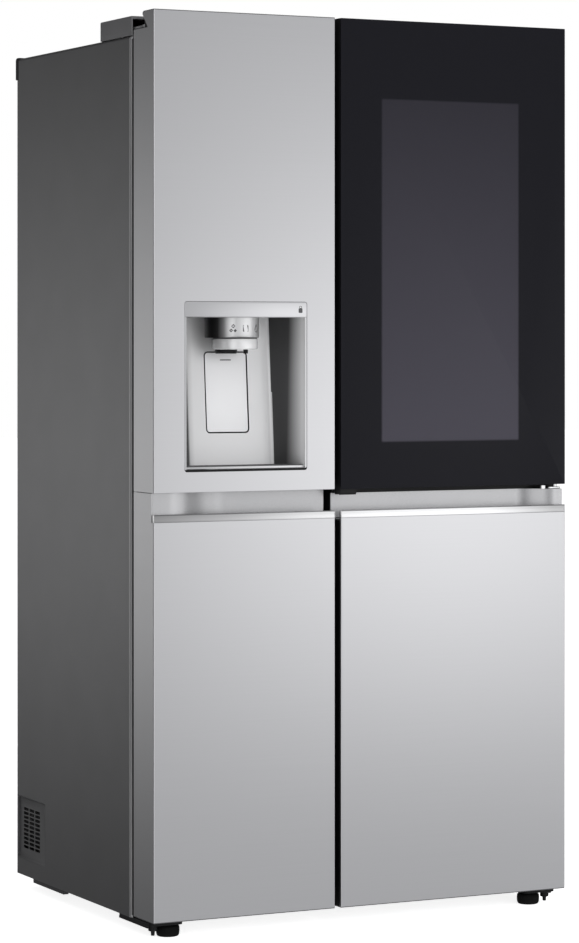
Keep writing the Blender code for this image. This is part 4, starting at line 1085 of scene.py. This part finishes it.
def foot_bracket(word, side):
    """Lower hinge bracket: plate with a turned-down edge, hinge pin, and a peg with a boss."""
    plate = door_prism(side, rounded_box(BRACKET_U, BRACKET_V, 0.008, 5), BRACKET_Z)
    stud_hole = door_lathe(side, STUD_U, STUD_V, [(0.0058, 0.0), (0.0058, 0.05)], 32)
    piece(f"hinge_bracket_{word}", soften(plate, 0.0010, 2, 60), BLACK, "cabinet", "black_steel",
          f"bottom_hinge_{word}", cuts=[stud_hole])
    fittings = door_block(side, (0.0065, 0.0105), (0.046, 0.186), (0.0190, 0.0241))
    peg = [(0.0030, 0.0040), (0.0036, 0.0046), (0.0040, 0.0120), (0.0080, 0.0130), (0.0088, 0.0145),
           (0.0088, 0.0241), (0.0030, 0.0241)]
    pin = [(0.0020, 0.0302), (0.0050, 0.0302), (0.0050, 0.0590), (0.0040, 0.0600), (0.0020, 0.0600)]
    for profile, v in ((peg, PEG_V), (pin, PIN_V)):
        door_lathe(side, PIN_U, v, profile, 40, fittings)
    piece(f"bracket_fittings_{word}", fittings, BLACK, "cabinet", "black_steel")


def roller(word):
    """Rear roller: a hard rubber wheel with a hub."""
    node_name = f"rear_roller_{word}"
    low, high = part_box(node_name)
    centre = (0, middle((low.y, high.y)), middle((low.z, high.z)))
    r, half = (high.z - low.z) / 2, (high.x - low.x) / 2
    profile = [(0.0034, -half), (0.0080, -half), (0.0085, -half + 0.004), (r - 0.005, -half + 0.004),
               (r - 0.004, -half + 0.0075), (r - 0.001, -half + 0.0078), (r, -half + 0.0090)]
    profile += [(a, -b) for a, b in profile[::-1]]
    wheel = lathe([(a, b + middle((low.x, high.x))) for a, b in profile], centre, 72, "X")
    piece(f"roller_wheel_{word}", wheel, RUBBER, f"{word}_roller", "rubber", node_name)


def screws():
    """Screw heads along the back panel's edges."""
    heads = bmesh.new()
    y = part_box("back_panel")[1].y
    profile = [(0.0008, y + 0.0010), (0.0014, y + 0.0016), (0.0034, y + 0.0014), (0.0046, y + 0.0004),
               (0.0046, y + 0.0001), (0.0008, y + 0.0001)]
    for x in (-0.43, -0.15, 0.15, 0.43):
        for z in (0.33, 0.78, 1.23, 1.66):
            lathe(profile, (x, 0, z), 24, "Y", heads)
    piece("back_screws", heads, ZINC, "cabinet", "zinc")


def cabinet():
    outer_case()
    for word, side in SIDES:
        vent_panel(word, side)
        rear_cap(word)
        hinge_cover(word, side)
        foot(word)
        foot_bracket(word, side)
        roller(word)
    for word, side in SIDES:
        hinge_bush(word, side)
    screws()
    ease_nodes(0.0015, "top_hinge_left", "top_hinge_right")
    ease_nodes(0.0006, "back_panel", "machine_cover", "front_frame", "base_pan")
    ease_nodes(0.0012, "freezer_liner", "fridge_liner", "freezer_duct", "insulation")
    ease_nodes(0.0004, "condenser", "evaporator", "condenser_fan", "compressor")


# ---------------------------------------------------------------- inside
EDGING_Z = (0.0400, 1.7500)         # flat black edging round a gasket
BAY_U, BAY_Z = (0.060, 0.465), (0.915, 1.675)
LAMP_Y, LAMP_Z = -0.05, (1.6835, 1.6898)
TUB_CORNER, TUB_WALL = 0.012, 0.0024
TUB_RIM = 0.003                     # how far a rim stands out past the wall
TUB_GRIP = 0.012                    # how far a grip stands out


def gasket(name, side, body, node_name):
    """Soft bellows round a door's inner panel."""
    u, (v0, v1), z = door_ranges(node_name, side)
    # (inset, share of the depth)
    section = [(0.0, 0.0), (0.014, 0.0), (0.014, 0.15), (0.0115, 0.35), (0.014, 0.55), (0.0135, 0.9),
               (0.011, 1.0), (0.003, 1.0), (0.0005, 0.9), (0.0, 0.55), (0.0025, 0.35), (0.0, 0.15)]
    ring = door_moulding(side, u, z, 0.004, [(inset, v0 + share * (v1 - v0)) for inset, share in section])
    # flat black edging from the bellows out to the door's edge
    edging = [(0.0, v0), (0.0180, v0), (0.0180, v0 + 0.0016), (0.0006, v0 + 0.0016), (0.0, v0 + 0.0010)]
    door_moulding(side, (0.0030, door_width(side) - 0.0030), EDGING_Z, 0.004, edging, ring)
    piece(name, ring, GASKET, body, "gasket", node_name, angle=50)


def shelf(name, node_name):
    """Glass plate behind a moulded front trim."""
    low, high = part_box(node_name)
    trim = prism(rounded_box((low.y, low.y + 0.011), (low.z, high.z), 0.003, 5), "X", (low.x, high.x))
    piece(f"{name}_trim", soften(trim, 0.0008, 2, 60), WHITE, "cabinet", "white_plastic", node_name)
    plate = block((low.x, high.x), (low.y + 0.0112, high.y), (low.z + 0.0083, low.z + 0.0135))
    piece(f"{name}_glass", soften(plate, 0.0010, 2), SHELF_GLASS, "cabinet", "shelf_glass")


def tub(name, body, node_name, grip=False):
    """Clear open tub with a thicker rim; drawers also get a white hooked grip."""
    low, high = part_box(node_name)
    front = low.y + (TUB_GRIP if grip else 0.0)

    def ring(shrink, z):
        outline = rounded_box((low.x + shrink, high.x - shrink), (front + shrink, high.y - shrink),
                              max(TUB_CORNER - shrink, 0.001), 5)
        return [(a, b, z) for a, b in outline]

    bottom, top = low.z, high.z
    wall, inset = TUB_WALL, TUB_RIM
    inside = inset + wall
    rows = [(inset + 0.004, bottom), (inset + 0.0012, bottom + 0.0012), (inset, bottom + 0.004),
            (inset, top - 0.010), (0.0, top - 0.008), (0.0, top - 0.0006), (0.0006, top),
            (inside - 0.0006, top), (inside, top - 0.0006), (inside, bottom + 0.006),
            (inside + 0.0015, bottom + wall + 0.001), (inside + 0.004, bottom + wall)]
    piece(name, loft([ring(shrink, z) for shrink, z in rows]), CLEAR, body, "clear_plastic", node_name)
    if grip:
        y, root, level = low.y, front + inset - 0.0001, top - 0.012
        hook = [(root, level), (y + 0.003, level), (y + 0.0008, level - 0.0008), (y, level - 0.003),
                (y, level - 0.018), (y + 0.003, level - 0.018), (y + 0.003, level - 0.0035),
                (root, level - 0.0035)]
        bar = prism(hook, "X", (low.x + 0.030, high.x - 0.030))
        piece(f"{name}_grip", soften(bar, 0.0006, 2), WHITE, body, "white_plastic")


def lamp(name, liner):
    """Light lens in a compartment's ceiling."""
    low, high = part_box(liner)
    x = middle((low.x, high.x))
    outline = rounded_box((x - 0.070, x + 0.070), (LAMP_Y - 0.018, LAMP_Y + 0.018), 0.010)
    lens = prism(outline, "Z", LAMP_Z)
    piece(name, soften(lens, 0.0015, 3, 60), LENS, "cabinet", "white_plastic")


def door_in_door():
    """White moulding round the opening behind the glass door."""
    section = [(0.0, 0.0449), (0.0, 0.0458), (0.0125, 0.0458), (0.0130, 0.0464), (0.0130, 0.0868),
               (0.0147, 0.0868), (0.0147, 0.0458), (0.0140, 0.0449)]
    ring = door_moulding(RIGHT, BAY_U, BAY_Z, 0.012, section)
    piece("bay_trim", ring, WHITE, "fridge_door", "white_plastic")


def lower_glass_hinge():
    """Small bright plate, stop and pin under the glass door's hinged corner."""
    _, (v0, v1), (z0, z1) = door_ranges("did_hinge_bottom", RIGHT)
    plate = rounded_box(x_span(RIGHT, 0.002, 0.030), y_span((v0, v1)), 0.004, 5)
    bm = soften(prism(plate, "Z", (z0, z0 + 0.0037)), 0.0006, 2, 60)
    pin = [(0.0010, z0 + 0.0038), (0.0040, z0 + 0.0038), (0.0040, z1 - 0.001), (0.0030, z1), (0.0010, z1)]
    door_lathe(RIGHT, 0.011, 0.0235, pin, 40, bm)
    stop = rounded_box(x_span(RIGHT, 0.036, 0.047), y_span((v0 + 0.001, v1 - 0.004)), 0.003, 5)
    prism(stop, "Z", (z0, z0 + 0.0065), bm)
    piece("glass_hinge_low", bm, POLISHED, "fridge_door", "zinc", "did_hinge_bottom")


def inside():
    lower_glass_hinge()
    for word, side in (("freezer", LEFT), ("fridge", RIGHT)):
        gasket(f"{word}_seal", side, f"{word}_door", f"{word}_gasket")
    for name in ("freezer_shelf", "fridge_shelf_1", "fridge_shelf_2"):
        shelf(name.replace("shelf", "rack"), name)
    for word, node_name in (("freezer_tub", "freezer_drawer"), ("crisper_tub", "crisper")):
        for short, level in (("top", "upper"), ("low", "lower")):
            tub(f"{word}_{short}", f"{word}_{level}", f"{node_name}_{level}", True)
    for body, names in (("freezer_door", ("freezer_bin_1", "freezer_bin_2", "ice_bin")),
                        ("fridge_door", ("fridge_bin", "did_bin"))):
        for node_name in names:
            tub(f"{node_name}_tray", body, node_name)
    for word in ("freezer", "fridge"):
        lamp(f"{word}_lamp", f"{word}_liner")
    door_in_door()
    ease_nodes(0.0012, "freezer_door_liner", "fridge_door_liner")
    ease_nodes(0.0008, "freezer_door_core", "fridge_door_core", "did_hinge_top")


# ---------------------------------------------------------------- finishes of the CAD nodes that stay
FINISHES = {
    "case_grey": CASE, "zinc": ZINC, "dark_grey": DARK, "foam": FOAM, "white_plastic": WHITE,
    "aluminium": FINS, "compressor_black": ENAMEL, "copper": COPPER, "black_plastic": BLACK,
    "shelf_glass": SHELF_GLASS, "clear_plastic": CLEAR, "black_steel": BLACK, "grey_plastic": GREY,
    "rubber": RUBBER, "door_foam": BLACK, "gasket": GASKET, "frame_black": BLACK, "steel": STEEL,
    "pocket_grey": POCKET, "dispenser_grey": SATIN, "black_glass": BLACK,
}


def finish_cad_nodes():
    slots = {part["node"]: part["material_slot"] for part in frame["record"]["subparts"]}
    for name, obj in frame["nodes"].items():
        obj.data.materials.clear()
        obj.data.materials.append(PAN if name == "base_pan" else FINISHES[slots[name]])


# ---------------------------------------------------------------- stage, lights, camera
FRONT_DIRECTION = (0.122, -0.9925, 0.0)
# the world's levels of light, and between which cosines each one sets in
SIDE_LEVEL, FRONT_LEVEL, FRONT_EDGE = 0.11, 0.50, (0.34, 0.48)
FLOOR_LEVEL, FLOOR_EDGE = 0.32, (-0.35, -0.75)
CEILING_LEVEL, CEILING_EDGE = 0.45, (0.45, 0.80)


def emissive_card(name, corner, across, up, strength, profile_across, profile_up):
    """Soft box: a card whose light fades towards its edges; profiles are (share, level) pairs."""
    corner, across, up = Vector(corner), Vector(across), Vector(up)
    bm = bmesh.new()
    points = [corner, corner + across, corner + across + up, corner + up]
    bm.faces.new([bm.verts.new(point) for point in points])
    card = mesh_object(name, bm)
    uv = card.data.uv_layers.new(name="card")
    for loop in card.data.loops:
        offset = card.data.vertices[loop.vertex_index].co - corner
        uv.data[loop.index].uv = (offset.dot(across) / across.length_squared,
                                  offset.dot(up) / up.length_squared)
    material = bpy.data.materials.new(name)
    material.use_nodes = True
    material.node_tree.nodes.clear()
    coords = node(material, "ShaderNodeUVMap", uv_map="card")
    place = node(material, "ShaderNodeSeparateXYZ", {"Vector": coords.outputs["UV"]}).outputs
    level = strength
    for axis, profile in (("X", profile_across), ("Y", profile_up)):
        stops = [(position, (value, value, value)) for position, value in profile]
        level = maths(material, "MULTIPLY", ramp(material, place[axis], stops, "B_SPLINE"), level)
    glow = node(material, "ShaderNodeEmission", {"Strength": level})
    clear = node(material, "ShaderNodeBsdfTransparent")
    both = node(material, "ShaderNodeAddShader", {0: glow.outputs["Emission"], 1: clear.outputs["BSDF"]})
    node(material, "ShaderNodeOutputMaterial", {"Surface": both.outputs["Shader"]})
    card.data.materials.append(material)
    card.visible_camera = False
    card.visible_shadow = False


def soft_light(name, place, target, size, power):
    data = bpy.data.lights.new(name, "AREA")
    data.shape = "RECTANGLE"
    data.size, data.size_y = size
    data.energy = power
    light = bpy.data.objects.new(name, data)
    light.location = place
    light.rotation_euler = (Vector(target) - Vector(place)).to_track_quat("-Z", "Y").to_euler()
    light.visible_camera = False
    light.visible_glossy = False
    bpy.context.scene.collection.objects.link(light)


def studio_world():
    """Bright in front, above and below, dim at the sides and behind; the camera itself sees white."""
    world = bpy.data.worlds.new("studio")
    world.use_nodes = True
    world.node_tree.nodes.clear()
    way = node(world, "ShaderNodeTexCoord").outputs["Generated"]
    front = node(world, "ShaderNodeVectorMath", {0: way, 1: FRONT_DIRECTION}, operation="DOT_PRODUCT")
    level = remap(world, front.outputs["Value"], SIDE_LEVEL, FRONT_LEVEL, *FRONT_EDGE, "SMOOTHSTEP")
    height = node(world, "ShaderNodeSeparateXYZ", {"Vector": way}).outputs["Z"]
    for target, edge in ((FLOOR_LEVEL, FLOOR_EDGE), (CEILING_LEVEL, CEILING_EDGE)):
        level = maths(world, "MAXIMUM", level, remap(world, height, 0.0, target, *edge, "SMOOTHSTEP"))
    dim = node(world, "ShaderNodeBackground", {"Color": (0.98, 0.985, 1.0, 1.0), "Strength": level})
    white = node(world, "ShaderNodeBackground", {"Color": (1.0, 1.0, 1.0, 1.0), "Strength": 1.0})
    mix = node(world, "ShaderNodeMixShader", {
        "Fac": node(world, "ShaderNodeLightPath").outputs["Is Camera Ray"],
        1: dim.outputs["Background"],
        2: white.outputs["Background"],
    })
    node(world, "ShaderNodeOutputWorld", {"Surface": mix.outputs["Shader"]})
    bpy.context.scene.world = world


def studio_floor():
    bm = bmesh.new()
    size = 30.0
    bm.faces.new([bm.verts.new(point) for point in
                  ((-size, -size, 0), (size, -size, 0), (size, size, 0), (-size, size, 0))])
    paint = moulded("floor_paint", (0.93, 0.93, 0.93), 0.8, 0.0001, 60.0, 0.01,
                    Emission_Color=(1.0, 1.0, 1.0, 1.0), Emission_Strength=0.85)
    floor = mesh_object("floor", bm, paint)
    floor.visible_glossy = False


def lights():
    emissive_card("front_soft_box", (-0.1, -1.9, -0.8), (2.4, 0.0, 0.0), (0.0, 0.0, 3.4), 1.15,
                  [(0.0, 0.0), (0.125, 0.4), (0.25, 0.65), (0.36, 0.85), (0.48, 1.0), (0.58, 0.88),
                   (0.75, 0.42), (1.0, 0.0)],
                  [(0.0, 0.0), (0.17, 0.0), (0.24, 0.04), (0.32, 0.34), (0.44, 0.80), (0.52, 0.84),
                   (0.63, 0.53), (0.75, 0.23), (0.85, 0.10), (1.0, 0.0)])
    emissive_card("side_soft_box", (-1.7, 1.4, -1.1), (0.0, 3.0, 0.0), (0.0, 0.0, 4.0), 1.8,
                  [(0.0, 0.6), (0.35, 1.0), (1.0, 0.0)],
                  [(0.0, 0.0), (0.24, 0.0), (0.475, 0.97), (0.76, 0.0), (1.0, 0.0)])
    emissive_card("right_soft_box", (1.7, -1.9, -0.5), (1.1, 0.45, 0.0), (0.0, 0.0, 2.6), 0.9,
                  [(0.0, 0.0), (0.3, 1.0), (0.6, 1.0), (1.0, 0.0)],
                  [(0.0, 0.0), (0.25, 1.0), (0.7, 1.0), (1.0, 0.0)])
    emissive_card("left_soft_box", (-0.70, -1.9, -0.6), (-1.3, 0.35, 0.0), (0.0, 0.0, 3.2), 1.2,
                  [(0.0, 0.0), (0.25, 1.0), (0.7, 0.9), (1.0, 0.0)],
                  [(0.0, 0.0), (0.25, 0.8), (0.7, 1.0), (1.0, 0.4)])
    soft_light("overhead", (0.3, -1.5, 4.0), (0, 0, 0.8), (3.0, 3.0), 60.0)
    soft_light("front_fill", (1.2, -5.0, 2.0), (0, 0, 0.9), (2.5, 2.0), 70.0)


def camera():
    """Level, 1.16 m up, 6.2 m in front of the cabinet's middle and 3 m to its left, turned 27.3 degrees."""
    data = bpy.data.cameras.new("camera")
    data.sensor_width = 36.0
    data.lens = 126.7
    data.shift_x = -0.1016
    data.shift_y = -0.1413
    obj = bpy.data.objects.new("camera", data)
    obj.location = (-2.9803, -6.2223, 1.1582)
    obj.rotation_euler = (math.radians(90.0), 0.0, math.radians(-27.314))
    bpy.context.scene.collection.objects.link(obj)
    bpy.context.scene.camera = obj


def main():
    finish_cad_nodes()
    door_skins()
    end_caps()
    grips()
    dispenser()
    glass_door()
    latch()
    cabinet()
    inside()
    studio_world()
    studio_floor()
    lights()
    camera()
    bpy.context.scene.view_settings.view_transform = "Standard"


main()
